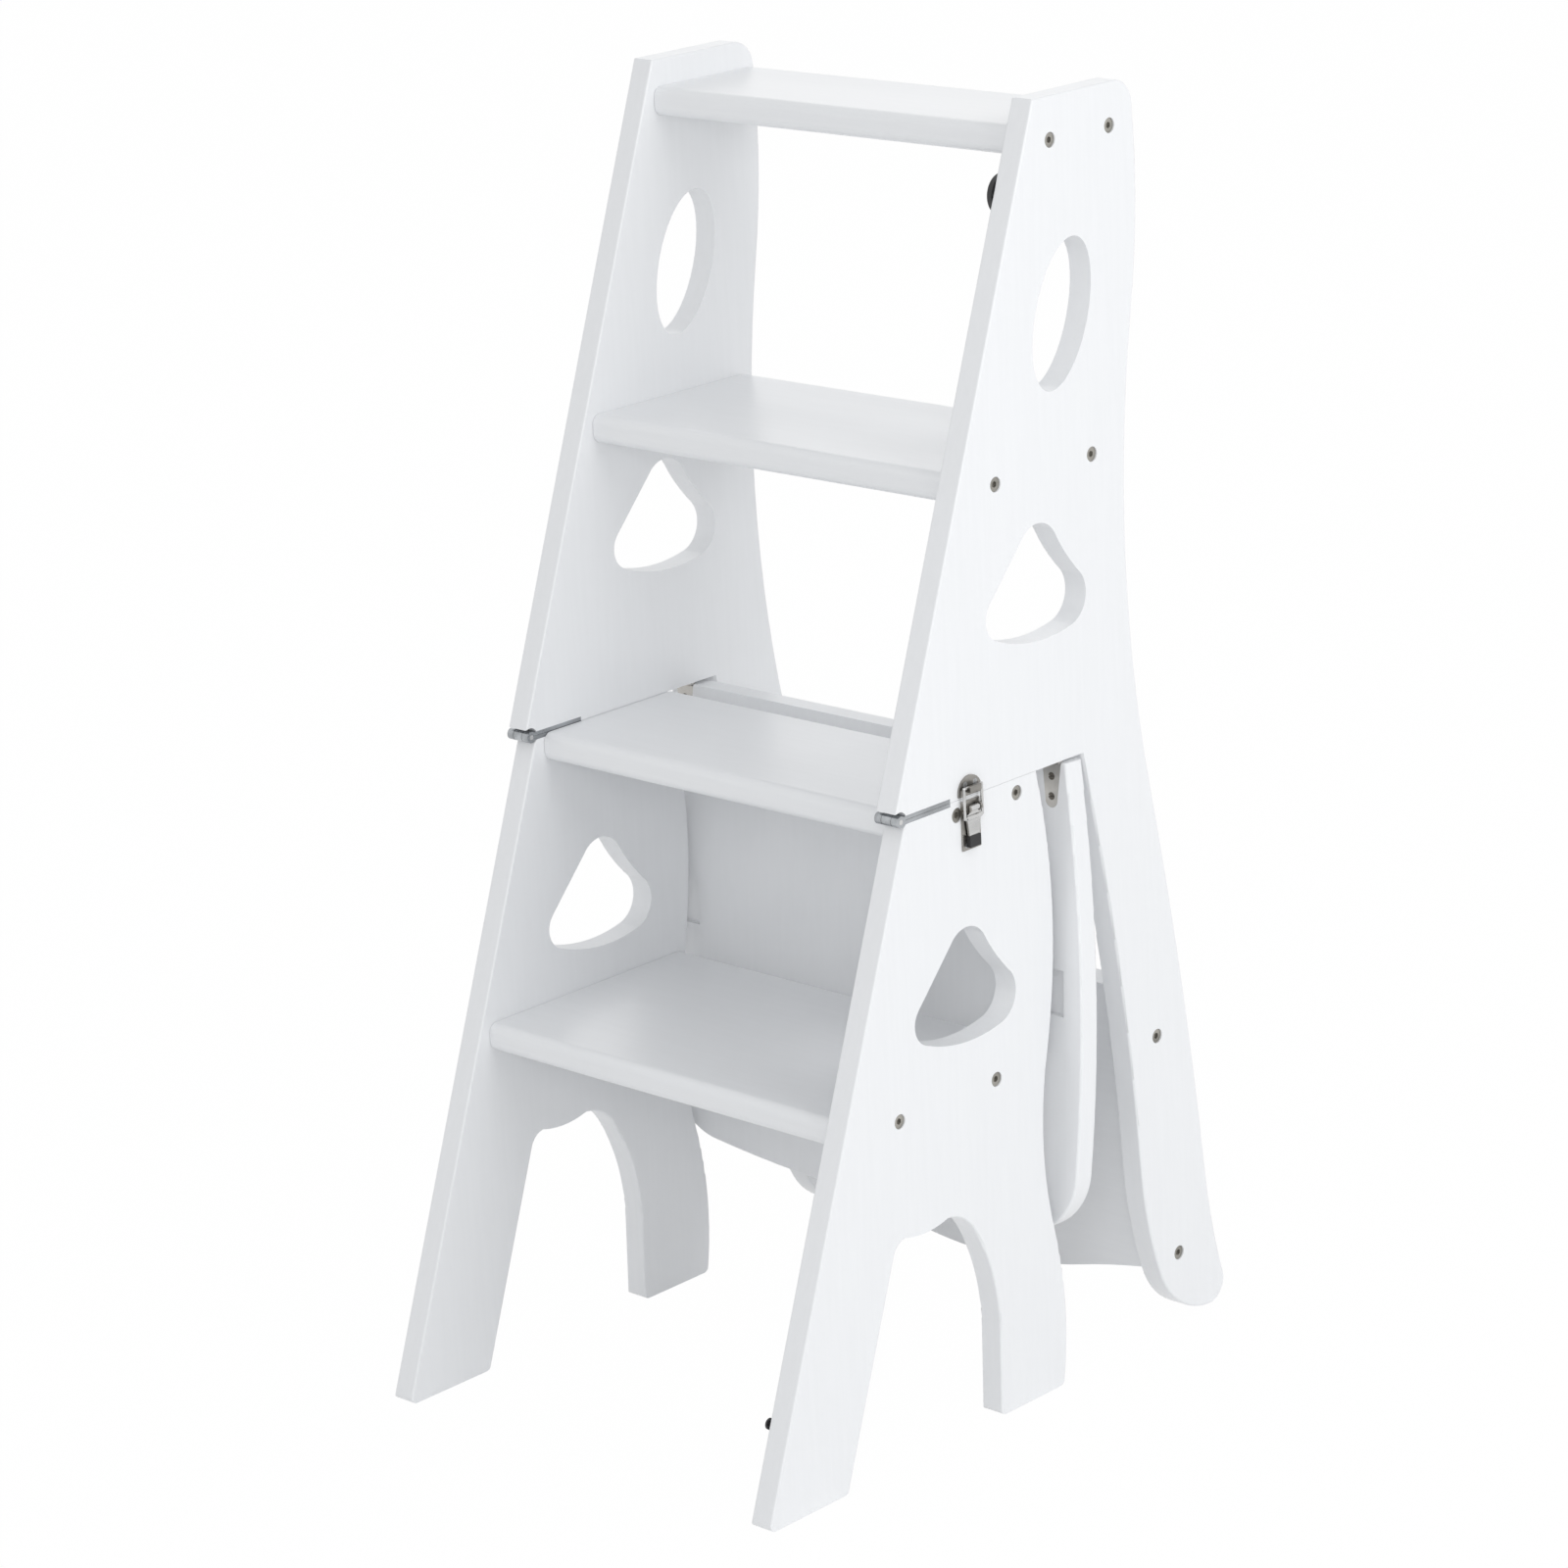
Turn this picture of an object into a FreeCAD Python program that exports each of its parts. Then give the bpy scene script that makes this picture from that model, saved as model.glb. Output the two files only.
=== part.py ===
import FreeCAD, Part
import math
import os
import Sketcher

# A wooden ladder of four treads whose upper half turns over to make a chair.
# Millimetres, +Z up, +X to the right of someone climbing it, +Y towards the back.
# The origin lies on the floor in the middle of the standing ladder.

SIZES = {
    # Plane where the halves part, and the fold pin in it
    "split_height": 450,
    "split_gap": 0.2,
    "front_run": 161.5,
    "pin_y": -86.2,
    "pin_inset": 5.75,
    "meet_gap": 0.6,
    # Side boards
    "half_width": 180.5,
    "board": 18,
    "edge_round": 1.5,
    # Lower side board: floor outline, arch and rear edge
    "front_foot": 78,
    "foot_corner": 6,
    "toe_corner": 4,
    "heel_lean": 0.17,
    "arch_height": 161.5,
    "arch_dip": 2.5,
    "arch_corner": 14,
    "arch_flat_back": 50.7,
    "arch_knee_back": 21.9,
    "arch_knee_drop": 16,
    "arch_knee_bulge": 4.3,
    "ankle_forward": 1.5,
    "ankle_height": 60,
    "ankle_bulge": 6.5,
    "rear_foot": 67.5,
    "rear_foot_reach": 147.9,
    "calf_setback": 5,
    "calf_height": 118,
    "calf_bulge": 6.4,
    "waist_setback": 7.2,
    "waist_height": 247.5,
    "waist_bulge": 7.7,
    "lower_top_setback": 9.3,
    "lower_top_bulge": 11.7,
    # Upper side board: post, rear edge and top
    "back_reach": 259.3,
    "hip_drop": 42.7,
    "hip_bulge": 3.8,
    "shoulder_hollow": 7.9,
    "shoulder_below_top": 156.6,
    "shoulder_bulge": 16.3,
    "crown_setback": 1.3,
    "crown_below_top": 19,
    "crown_bulge": 4.3,
    "top_corner_run": 16.1,
    "top_bulge": 4.6,
    "post_length": 445.1,
    "post_sweep": 50.4,
    "post_back_rise": 103.5,
    "post_back_bulge": 2.1,
    "post_width": 71.4,
    "root_flare": 1.6,
    "post_shin_rise": 123.5,
    "post_shin_bulge": 6.9,
    "post_tip_sweep": 18.3,
    "post_tip_rise": 17.7,
    "post_tip_run": 17.6,
    "post_tip_bulge": 6,
    "post_heel_sweep": 17.9,
    "post_heel_rise": 42.1,
    "post_heel_bulge": 2.9,
    "post_end_bulge": 10.2,
    # Oval hand hole
    "oval_reach": 179,
    "oval_rise": 304.5,
    "oval_long": 104,
    "oval_short": 54,
    # Pear-shaped hole, one in each side board
    "pear_upper_reach": 147.4,
    "pear_upper_rise": 125,
    "pear_lower_reach": 61.8,
    "pear_lower_drop": 133.2,
    "pear_tip_left": 16.5,
    "pear_tip_left_rise": 36,
    "pear_heel_left": 50.5,
    "pear_heel_bulge": 7.4,
    "pear_base_left": 45,
    "pear_base_left_drop": 26.7,
    "pear_base_bulge": 6.3,
    "pear_base_right": 33,
    "pear_base_right_drop": 32.7,
    "pear_belly_right": 43.5,
    "pear_belly_bulge": 9.1,
    "pear_neck_right": 22,
    "pear_neck_rise": 26,
    "pear_neck_bulge": 0.9,
    "pear_tip_right": 17,
    "pear_tip_right_rise": 34.5,
    "pear_tip_bulge": 8.7,
    # Treads
    "tread": 20,
    "tread_nose": 6.5,
    "tread_end_round": 1,
    "tread_inset": 10,
    "top_tread_below_top": 19,
    "top_tread_depth": 97,
    "second_tread_rise": 214,
    "second_tread_depth": 152,
    "third_tread_depth": 127,
    "bottom_tread_height": 255,
    "bottom_tread_depth": 191,
    # Connector bolts and cross nuts
    "bolt_top_front": 16.5,
    "bolt_top_spacing": 61,
    "bolt_second_front": 28.5,
    "bolt_second_spacing": 99.5,
    "bolt_third_front": 44,
    "bolt_third_spacing": 61,
    "bolt_bottom_front": 45.5,
    "bolt_bottom_spacing": 98.8,
    "bolt_head_radius": 5,
    "bolt_head_height": 3.5,
    "bolt_head_sink": 1,
    "bolt_socket": 4,
    "bolt_socket_depth": 2.2,
    "bolt_radius": 3,
    "bolt_reach": 50,
    "bolt_clearance": 0.2,
    "nut_radius": 5,
    "nut_length": 13,
    "nut_setback": 40,
    "nut_clearance": 0.1,
    # Backrest panel between the posts
    "panel_thickness": 18,
    "panel_lean": 6.2,
    "panel_setback": 32.4,
    "panel_rise_from_end": 50.8,
    "panel_rise": 206.4,
    "panel_bolt_spacing": 170.3,
    "panel_end_drop": 12.8,
    "panel_hump_half": 95,
    "panel_hump_drop": 27.4,
    "panel_hump_bulge": 13.1,
    "panel_end_bulge": 1,
    # Seat panel
    "seat_axis_reach": 164.4,
    "seat_lean": 2.8,
    "seat_face_gap": 0.5,
    "seat_thickness": 17,
    "seat_top": 1.5,
    "seat_top_half": 184,
    "seat_side_bulge": 9,
    "seat_corner_half": 194.6,
    "seat_corner_drop": 296,
    "seat_corner_bulge": 10.5,
    "seat_front_half": 152,
    "seat_front_drop": 342.5,
    "seat_front_bulge": 9.5,
    "seat_edge_round": 2,
    "relief_length": 33,
    "relief_depth": 5,
    "relief_margin": 1,
    # Fold hinges
    "fold_barrel_radius": 4,
    "fold_pin_radius": 1.8,
    "fold_overhang": 1,
    "fold_middle": 8,
    "fold_leaf": 2.8,
    "fold_leaf_length": 50,
    "fold_leaf_gap": 0.2,
    "fold_relief_radius": 6.5,
    "fold_screw_first": 16,
    "fold_screw_spacing": 22,
    "fold_screw_head": 3.4,
    "fold_screw_shank": 1.7,
    "fold_screw_length": 22,
    # Seat hinges
    "seat_barrel_radius": 2.5,
    "seat_pin_radius": 1.2,
    "seat_leaf": 1.5,
    "seat_leaf_width": 16,
    "seat_leaf_tip": 10.5,
    "seat_leaf_length": 34,
    "seat_middle": 6,
    "seat_screw_first": 12,
    "seat_screw_spacing": 14,
    "seat_screw_head": 2.7,
    "seat_screw_shank": 1.2,
    "seat_screw_length": 12,
    # Play in the hinges
    "pin_clearance": 0.05,
    "knuckle_gap": 0.3,
    "knuckle_relief": 0.5,
    # Draw latch on the right outer face
    "latch_reach": 68.9,
    "latch_plate": 1.5,
    "latch_half": 9,
    "latch_base_drop": 36,
    "latch_base_height": 34,
    "latch_pivot_drop": 7,
    "latch_pivot_out": 3.9,
    "latch_pin_radius": 1,
    "latch_ear": 1.4,
    "latch_ear_radius": 2.8,
    "lever_half": 7.2,
    "lever_tip_half": 5,
    "lever_crown": 1.5,
    "lever_hub_half": 4.6,
    "lever_hub_radius": 2,
    "lever_thickness": 1.6,
    "lever_lift": 2.4,
    "lever_length": 26,
    "lever_shoulder": 4.2,
    "grip_length": 7,
    "grip_wall": 0.8,
    "bail_drop": 6.2,
    "bail_out": 3.6,
    "bail_boss_radius": 1.8,
    "bail_wire": 1.1,
    "bail_half": 8.8,
    "bail_stub": 3.2,
    "bail_rise": 7.5,
    "keeper_half": 11.5,
    "keeper_bottom": 1.5,
    "keeper_height": 2,
    "keeper_hook_half": 5.6,
    "keeper_lip": 3,
    "keeper_screw_rise": 6,
    "latch_play": 0.3,
    "latch_screw_head": 2,
    "latch_screw_shank": 1,
    "latch_screw_length": 10,
    "latch_screw_half": 5,
    "latch_screw_edge": 3.4,
    # Catch on the right inner face
    "catch_inset": 13.5,
    "catch_below_top": 62.3,
    "catch_tilt": 60,
    "catch_disc": 14,
    "catch_length": 21,
    "catch_half": 6,
    "catch_flare": 3,
    "catch_end": 5.5,
    "catch_thickness": 3.8,
    "catch_play": 0.3,
    "catch_screw_radius": 2,
    "catch_screw_head": 3.8,
    "catch_head_height": 1.4,
    "catch_screw_length": 12,
    "knob_rise": 0.1,
    "knob_neck": 2,
    "knob_head": 4,
}

AXIS_X = FreeCAD.Vector(1, 0, 0)
AXIS_Y = FreeCAD.Vector(0, 1, 0)
ALONG_X = FreeCAD.Rotation(AXIS_Y, 90)
ALONG_Y = FreeCAD.Rotation(AXIS_X, -90)
ALONG_Z = FreeCAD.Rotation()
TO_MINUS_Z = FreeCAD.Rotation(AXIS_X, 180)


class Dim:
    """A size that knows both its value and the formula that gives it."""

    def __init__(self, text, value):
        self.text = text
        self.value = value

    def _join(self, other, sign, value, flip=False):
        other_text = other.text if isinstance(other, Dim) else repr(other)
        first, second = (other_text, self.text) if flip else (self.text, other_text)
        return Dim("(%s %s %s)" % (first, sign, second), value)

    def __add__(self, other):
        return self._join(other, "+", self.value + number(other))

    __radd__ = __add__

    def __sub__(self, other):
        return self._join(other, "-", self.value - number(other))

    def __rsub__(self, other):
        return self._join(other, "-", number(other) - self.value, True)

    def __mul__(self, other):
        return self._join(other, "*", self.value * number(other))

    __rmul__ = __mul__

    def __truediv__(self, other):
        return self._join(other, "/", self.value / number(other))

    def __rtruediv__(self, other):
        return self._join(other, "/", number(other) / self.value, True)

    def __neg__(self):
        return Dim("(0 - %s)" % self.text, -self.value)


def number(size):
    return size.value if isinstance(size, Dim) else float(size)


def formula(size):
    return size.text if isinstance(size, Dim) else repr(float(size))


def root(size):
    return Dim("sqrt(%s)" % size.text, math.sqrt(size.value))


NOTHING = Dim("0", 0.0)
doc = FreeCAD.newDocument("step_chair")
sheet = doc.addObject("Spreadsheet::Sheet", "sizes")


class Sizes:
    """The sheet's cells by name."""


def fill_sheet():
    """Write every driving size to the sheet and give its cell an alias."""
    cells = Sizes()
    for row, (alias, value) in enumerate(SIZES.items(), start=1):
        sheet.set("A%d" % row, alias)
        sheet.set("B%d" % row, str(value))
        sheet.setAlias("B%d" % row, alias)
        setattr(cells, alias, Dim("sizes.%s" % alias, float(value)))
    doc.recompute()
    return cells


S = fill_sheet()

# Places that several pieces share
lean = S.front_run / S.split_height
lean_length = root(1 + lean * lean)
lean_cos = 1 / lean_length
lean_sin = lean / lean_length
pin_y = S.pin_y
split = S.split_height
top_height = split * 2
lower_edge = split - S.split_gap / 2
upper_edge = split + S.split_gap / 2
inner = S.half_width - S.board
lower_front = pin_y + S.pin_inset + S.meet_gap / 2
upper_front = pin_y - S.pin_inset + S.meet_gap / 2
seat_axis_y = pin_y + S.seat_axis_reach


def lower_front_at(height):
    """Front edge of the lower side boards at a height."""
    return lower_front + lean * (height - split)


def upper_front_at(height):
    """Front edge of the upper side boards at a height."""
    return upper_front + lean * (height - split)


def bind(obj, path, size):
    obj.setExpression(path, formula(size))


def place(obj, x=0, y=0, z=0, turn=ALONG_Z):
    """Put an object at a point, each coordinate tied to its size."""
    obj.Placement = FreeCAD.Placement(FreeCAD.Vector(number(x), number(y), number(z)), turn)
    for axis, size in (("x", x), ("y", y), ("z", z)):
        bind(obj, "Placement.Base." + axis, size)
    return obj


def box(name, x, y, z):
    """A block between pairs of sizes along x, y and z."""
    block = doc.addObject("Part::Box", name)
    for prop, (low, high) in (("Length", x), ("Width", y), ("Height", z)):
        setattr(block, prop, number(high) - number(low))
        bind(block, prop, high - low)
    return place(block, x[0], y[0], z[0])


def rod(name, radius, length, x=0, y=0, z=0, turn=ALONG_Z):
    """A round bar from a point along the turned z axis."""
    bar = doc.addObject("Part::Cylinder", name)
    bar.Radius = number(radius)
    bar.Height = number(length)
    bind(bar, "Radius", radius)
    bind(bar, "Height", length)
    return place(bar, x, y, z, turn)


def taper(name, y, x_first, x_last, z):
    """A plate along y whose width changes from one pair of x sizes to another."""
    plate = doc.addObject("Part::Wedge", name)
    for prop, size in (("Ymin", y[0]), ("Ymax", y[1]), ("Xmin", x_first[0]), ("Xmax", x_first[1]),
                       ("X2min", x_last[0]), ("X2max", x_last[1]), ("Zmin", z[0]), ("Zmax", z[1]),
                       ("Z2min", z[0]), ("Z2max", z[1])):
        setattr(plate, prop, number(size))
        bind(plate, prop, size)
    return plate


def ball(name, radius, x, y, z):
    sphere = doc.addObject("Part::Sphere", name)
    sphere.Radius = number(radius)
    bind(sphere, "Radius", radius)
    return place(sphere, x, y, z)


def fuse(name, pieces):
    joined = doc.addObject("Part::MultiFuse", name)
    joined.Shapes = pieces
    return joined


def cut(name, base, cutters):
    tool = cutters[0] if len(cutters) == 1 else fuse(name + "_cutters", cutters)
    result = doc.addObject("Part::Cut", name)
    result.Base = base
    result.Tool = tool
    return result


def group(name, pieces):
    """Several separate solids that make one node."""
    compound = doc.addObject("Part::Compound", name)
    compound.Links = pieces
    return compound


def mirror(name, source):
    """The same piece on the other side of the middle plane."""
    copy = doc.addObject("Part::Mirroring", name)
    copy.Source = source
    copy.Base = FreeCAD.Vector(0, 0, 0)
    copy.Normal = AXIS_X
    return copy


def both_sides(name, pieces):
    """A node with right-hand pieces and their left-hand twins."""
    right = group(name + "_right", pieces)
    return group(name, [right, mirror(name + "_left", right)])


def arc_radius(start, end, bulge):
    """Radius of the arc between two points that stands off their chord by the bulge."""
    dx = end[0] - start[0]
    dy = end[1] - start[1]
    return ((dx * dx + dy * dy) / 4 + bulge * bulge) / (bulge * 2)


def draw_arc(start, end, bulge, outward):
    """Arc geometry from start to end, and whether it runs backwards."""
    x0, y0, x1, y1 = (number(value) for value in start + end)
    radius = arc_radius(start, end, bulge).value
    chord = math.hypot(x1 - x0, y1 - y0)
    left = ((y0 - y1) / chord, (x1 - x0) / chord)
    side = 1 if outward else -1
    stand = side * (radius - number(bulge))
    centre = FreeCAD.Vector((x0 + x1) / 2 + left[0] * stand, (y0 + y1) / 2 + left[1] * stand, 0)
    circle = Part.Circle(centre, FreeCAD.Vector(0, 0, 1), radius)
    first = math.atan2(y0 - centre.y, x0 - centre.x)
    last = math.atan2(y1 - centre.y, x1 - centre.x)
    if outward:
        return Part.ArcOfCircle(circle, first, last), False
    return Part.ArcOfCircle(circle, last, first), True


def outline(sketch, corners):
    """Closed outline: each corner is (x, y) or (x, y, bulge) with an arc to the next corner.

    A bulge given as a pair (size, False) bends the arc into the outline.
    """
    points = [(corner[0], corner[1]) for corner in corners]
    ends = []
    for index, corner in enumerate(corners):
        start = points[index]
        end = points[(index + 1) % len(points)]
        if len(corner) == 2:
            first = FreeCAD.Vector(number(start[0]), number(start[1]), 0)
            last = FreeCAD.Vector(number(end[0]), number(end[1]), 0)
            edge = sketch.addGeometry(Part.LineSegment(first, last))
            ends.append((edge, 1, 2))
            continue
        bulge, outward = corner[2] if isinstance(corner[2], tuple) else (corner[2], True)
        arc, backwards = draw_arc(start, end, bulge, outward)
        edge = sketch.addGeometry(arc)
        radius = arc_radius(start, end, bulge)
        tie(sketch, Sketcher.Constraint("Radius", edge, radius.value), radius)
        ends.append((edge, 2, 1) if backwards else (edge, 1, 2))
    for index, (edge, start, end) in enumerate(ends):
        following = ends[(index + 1) % len(ends)]
        sketch.addConstraint(Sketcher.Constraint("Coincident", edge, end, following[0], following[1]))
        pin_point(sketch, edge, start, points[index])


def tie(sketch, constraint, size):
    index = sketch.addConstraint(constraint)
    sketch.setExpression("Constraints[%d]" % index, formula(size))


def pin_point(sketch, edge, end, point):
    """Fix a point of the sketch at its distance from the sketch's origin."""
    for kind, size in zip(("DistanceX", "DistanceY"), point):
        tie(sketch, Sketcher.Constraint(kind, -1, 1, edge, end, number(size)), size)


def oval(sketch, centre, long_size, short_size, slope):
    """Ellipse whose long axis leans with the front edge."""
    middle = FreeCAD.Vector(number(centre[0]), number(centre[1]), 0)
    angle = math.atan(slope.value)
    long_axis = FreeCAD.Vector(math.cos(angle), math.sin(angle), 0) * (long_size.value / 2)
    short_axis = FreeCAD.Vector(-math.sin(angle), math.cos(angle), 0) * (short_size.value / 2)
    shape = sketch.addGeometry(Part.Ellipse(middle + long_axis, middle + short_axis, middle))
    sketch.exposeInternalGeometry(shape)
    pin_point(sketch, shape, 3, centre)
    tie(sketch, Sketcher.Constraint("Distance", shape + 1, long_size.value), long_size)
    tie(sketch, Sketcher.Constraint("Distance", shape + 2, short_size.value), short_size)
    turn = sketch.addConstraint(Sketcher.Constraint("Angle", shape + 1, angle))
    sketch.setExpression("Constraints[%d]" % turn, "atan(%s)" % slope.text)


def new_body(name, plane, draw):
    """A body with one sketch on one of its own planes."""
    body = doc.addObject("PartDesign::Body", name)
    sketch = body.newObject("Sketcher::SketchObject", name + "_sketch")
    origin = [item for item in body.Origin.OriginFeatures if item.Role == plane][0]
    sketch.AttachmentSupport = [(origin, "")]
    sketch.MapMode = "FlatFace"
    draw(sketch)
    return body, sketch


def pad(body, sketch, length, reverse=False):
    block = body.newObject("PartDesign::Pad", body.Name + "_pad")
    block.Profile = sketch
    block.Length = number(length)
    bind(block, "Length", length)
    block.Reversed = reverse
    doc.recompute()
    return block


def ease_edges(body, feature, radius, axis, resting=()):
    """Round the outer edges of the two faces that look along an axis, except at resting heights."""
    chosen = []
    flat_faces = [face for face in feature.Shape.Faces
                  if face.Surface.TypeId == "Part::GeomPlane" and abs(face.normalAt(0, 0).dot(axis)) > 0.999]
    for index, edge in enumerate(feature.Shape.Edges, start=1):
        heights = [vertex.Point.z for vertex in edge.Vertexes]
        rests = any(all(abs(height - number(level)) < 0.001 for height in heights) for level in resting)
        if not rests and any(edge.isSame(other) for face in flat_faces for other in face.OuterWire.Edges):
            chosen.append("Edge%d" % index)
    rounding = body.newObject("PartDesign::Fillet", body.Name + "_rounding")
    rounding.Base = (feature, chosen)
    rounding.Radius = number(radius)
    bind(rounding, "Radius", radius)
    doc.recompute()
    return rounding


def screw(name, head, shank, length, x, y, z, turn):
    """Countersunk screw with a driver slot; its head lies at the point, its tip along the turned z axis."""
    slope = head - shank
    cone = doc.addObject("Part::Cone", name + "_head")
    for prop, size in (("Radius1", head), ("Radius2", shank), ("Height", slope)):
        setattr(cone, prop, number(size))
        bind(cone, prop, size)
    stem = rod(name + "_stem", shank, length - slope, z=slope)
    slot = box(name + "_slot", (-head, head), (-shank / 5, shank / 5), (-shank / 5, slope / 2))
    driven = cut(name, fuse(name + "_whole", [cone, stem]), [slot])
    return place(driven, x, y, z, turn)


def screw_hole(name, head, shank, length, clearance, x, y, z, turn):
    """Countersunk hole that takes a screw with some play."""
    slope = head - shank
    cone = doc.addObject("Part::Cone", name + "_sink")
    for prop, size in (("Radius1", head + clearance), ("Radius2", shank + clearance), ("Height", slope)):
        setattr(cone, prop, number(size))
        bind(cone, prop, size)
    stem = rod(name + "_bore", shank + clearance, length + clearance)
    return place(fuse(name, [cone, stem]), x, y, z, turn)


# Treads: where each one lies, and its two bolts at each end
def tread_place(front_at, top, depth, bolt_front, bolt_spacing):
    """Front, back, middle height and bolt positions of a tread."""
    middle = top - S.tread / 2
    front = front_at(middle) + S.tread_inset
    bolts = [(front + bolt_front, middle), (front + bolt_front + bolt_spacing, middle)]
    return {"front": front, "back": front + depth, "middle": middle, "bolts": bolts}


TREADS = {
    "top_tread": tread_place(
        upper_front_at, top_height - S.top_tread_below_top, S.top_tread_depth,
        S.bolt_top_front, S.bolt_top_spacing),
    "second_tread": tread_place(
        upper_front_at, split + S.second_tread_rise, S.second_tread_depth,
        S.bolt_second_front, S.bolt_second_spacing),
    "third_tread": tread_place(
        lower_front_at, lower_edge, S.third_tread_depth,
        S.bolt_third_front, S.bolt_third_spacing),
    "bottom_tread": tread_place(
        lower_front_at, S.bottom_tread_height, S.bottom_tread_depth,
        S.bolt_bottom_front, S.bolt_bottom_spacing),
}

panel_angle = math.radians(S.panel_lean.value)
panel_sin = Dim("sin(sizes.panel_lean * 1 deg)", math.sin(panel_angle))
panel_cos = Dim("cos(sizes.panel_lean * 1 deg)", math.cos(panel_angle))
panel_y = pin_y + S.back_reach + S.post_sweep - S.panel_setback
panel_z = split - S.post_length + S.panel_rise_from_end
PANEL_BOLTS = [
    (panel_y, panel_z),
    (panel_y - S.panel_bolt_spacing * panel_sin, panel_z + S.panel_bolt_spacing * panel_cos),
]
LOWER_BOLTS = TREADS["third_tread"]["bolts"] + TREADS["bottom_tread"]["bolts"]
UPPER_BOLTS = TREADS["top_tread"]["bolts"] + TREADS["second_tread"]["bolts"]


def pear(centre):
    """Corners of the pear-shaped hole around its middle."""
    y, z = centre
    return [
        (y - S.pear_tip_left, z + S.pear_tip_left_rise),
        (y - S.pear_heel_left, z, S.pear_heel_bulge),
        (y - S.pear_base_left, z - S.pear_base_left_drop, S.pear_base_bulge),
        (y + S.pear_base_right, z - S.pear_base_right_drop, S.pear_belly_bulge),
        (y + S.pear_belly_right, z, (S.pear_neck_bulge, False)),
        (y + S.pear_neck_right, z + S.pear_neck_rise),
        (y + S.pear_tip_right, z + S.pear_tip_right_rise, S.pear_tip_bulge),
    ]


def lower_outline():
    """Lower side board: slanted front leg, arch, curved rear leg and flat top edge."""
    foot_front = lower_front_at(NOTHING)
    foot_back = foot_front + S.front_foot
    spring = foot_back + lean * S.arch_height
    corner_length = S.arch_corner * (1 - lean_sin) / lean_cos
    rear = pin_y + S.rear_foot_reach
    rear_front = rear - S.rear_foot
    return [
        (foot_front, NOTHING),
        (foot_back, NOTHING),
        (spring - corner_length * lean_sin, S.arch_height - corner_length * lean_cos,
         (S.arch_corner * (1 - root((1 + lean_sin) / 2)), False)),
        (spring + corner_length, S.arch_height, S.arch_dip),
        (rear_front - S.arch_flat_back, S.arch_height, (S.arch_knee_bulge, False)),
        (rear_front - S.arch_knee_back, S.arch_height - S.arch_knee_drop, (S.ankle_bulge, False)),
        (rear_front + S.ankle_forward, S.ankle_height),
        (rear_front, NOTHING),
        (rear, NOTHING, S.calf_bulge),
        (rear - S.calf_setback, S.calf_height, (S.waist_bulge, False)),
        (rear - S.waist_setback, S.waist_height, S.lower_top_bulge),
        (rear - S.lower_top_setback, lower_edge),
        (lower_front_at(lower_edge), lower_edge),
    ]


def upper_outline():
    """Upper side board: flat bottom edge, rear post that hangs below it, and slanted front edge."""
    hip = pin_y + S.back_reach
    crown = hip - S.crown_setback
    post_back = hip + S.post_sweep
    post_tip = post_back + S.post_tip_sweep
    post_end = post_tip - S.post_tip_run
    post_shin = post_back - S.post_width
    end_height = split - S.post_length
    return [
        (upper_front_at(upper_edge), upper_edge),
        (hip - S.post_width - S.root_flare, upper_edge, (S.post_shin_bulge, False)),
        (post_shin, end_height + S.post_shin_rise, S.post_heel_bulge),
        (post_shin + S.post_heel_sweep, end_height + S.post_heel_rise, S.post_end_bulge),
        (post_end, end_height, S.post_tip_bulge),
        (post_tip, end_height + S.post_tip_rise, (S.post_back_bulge, False)),
        (post_back, end_height + S.post_back_rise, S.hip_bulge),
        (hip, split - S.hip_drop, (S.shoulder_bulge, False)),
        (hip - S.shoulder_hollow, top_height - S.shoulder_below_top, S.crown_bulge),
        (crown, top_height - S.crown_below_top, S.top_bulge),
        (crown - S.top_corner_run, top_height),
        (upper_front_at(top_height), top_height),
    ]


def side_blank(name, draw, resting):
    """Side board of full thickness with its holes and eased edges, on the right-hand side."""
    body, sketch = new_body(name, "YZ_Plane", draw)
    block = pad(body, sketch, S.board)
    ease_edges(body, block, S.edge_round, AXIS_X, resting)
    bind(body, "Placement.Base.x", inner)
    doc.recompute()
    return body


def corner_cutter(name, y, side, lean_share, radius):
    """Space around a rounded corner at the floor; side is 1 at the back of a foot and -1 at its front."""
    upright = root(1 - lean_share * lean_share)
    run = radius * (1 - side * lean_share) / upright
    centre = y - side * run
    reach = y + side * radius
    y_range = (centre, reach) if side > 0 else (reach, centre)
    around = box(name + "_block", (inner, S.half_width), y_range, (NOTHING - radius, run * upright))
    return cut(name, around, [rod(name + "_round", radius, S.board, inner, centre, radius, ALONG_X)])


def draw_lower(sketch):
    outline(sketch, lower_outline())
    outline(sketch, pear((pin_y + S.pear_lower_reach, split - S.pear_lower_drop)))


def draw_upper(sketch):
    outline(sketch, upper_outline())
    outline(sketch, pear((pin_y + S.pear_upper_reach, split + S.pear_upper_rise)))
    centre = (pin_y + S.oval_reach, split + S.oval_rise)
    oval(sketch, centre, S.oval_long, S.oval_short, split / S.front_run)


def bolt_cutters(name, bolts):
    """Sunk holes for the connector bolts of one side board."""
    cutters = []
    sink = S.bolt_head_sink + S.bolt_head_height
    for index, (y, z) in enumerate(bolts):
        tag = "%s_hole_%d" % (name, index)
        cutters.append(rod(tag + "_sink", S.bolt_head_radius + S.bolt_clearance, sink,
                           S.half_width - sink, y, z, ALONG_X))
        cutters.append(rod(tag, S.bolt_radius + S.bolt_clearance, S.board, inner, y, z, ALONG_X))
    return cutters


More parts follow.
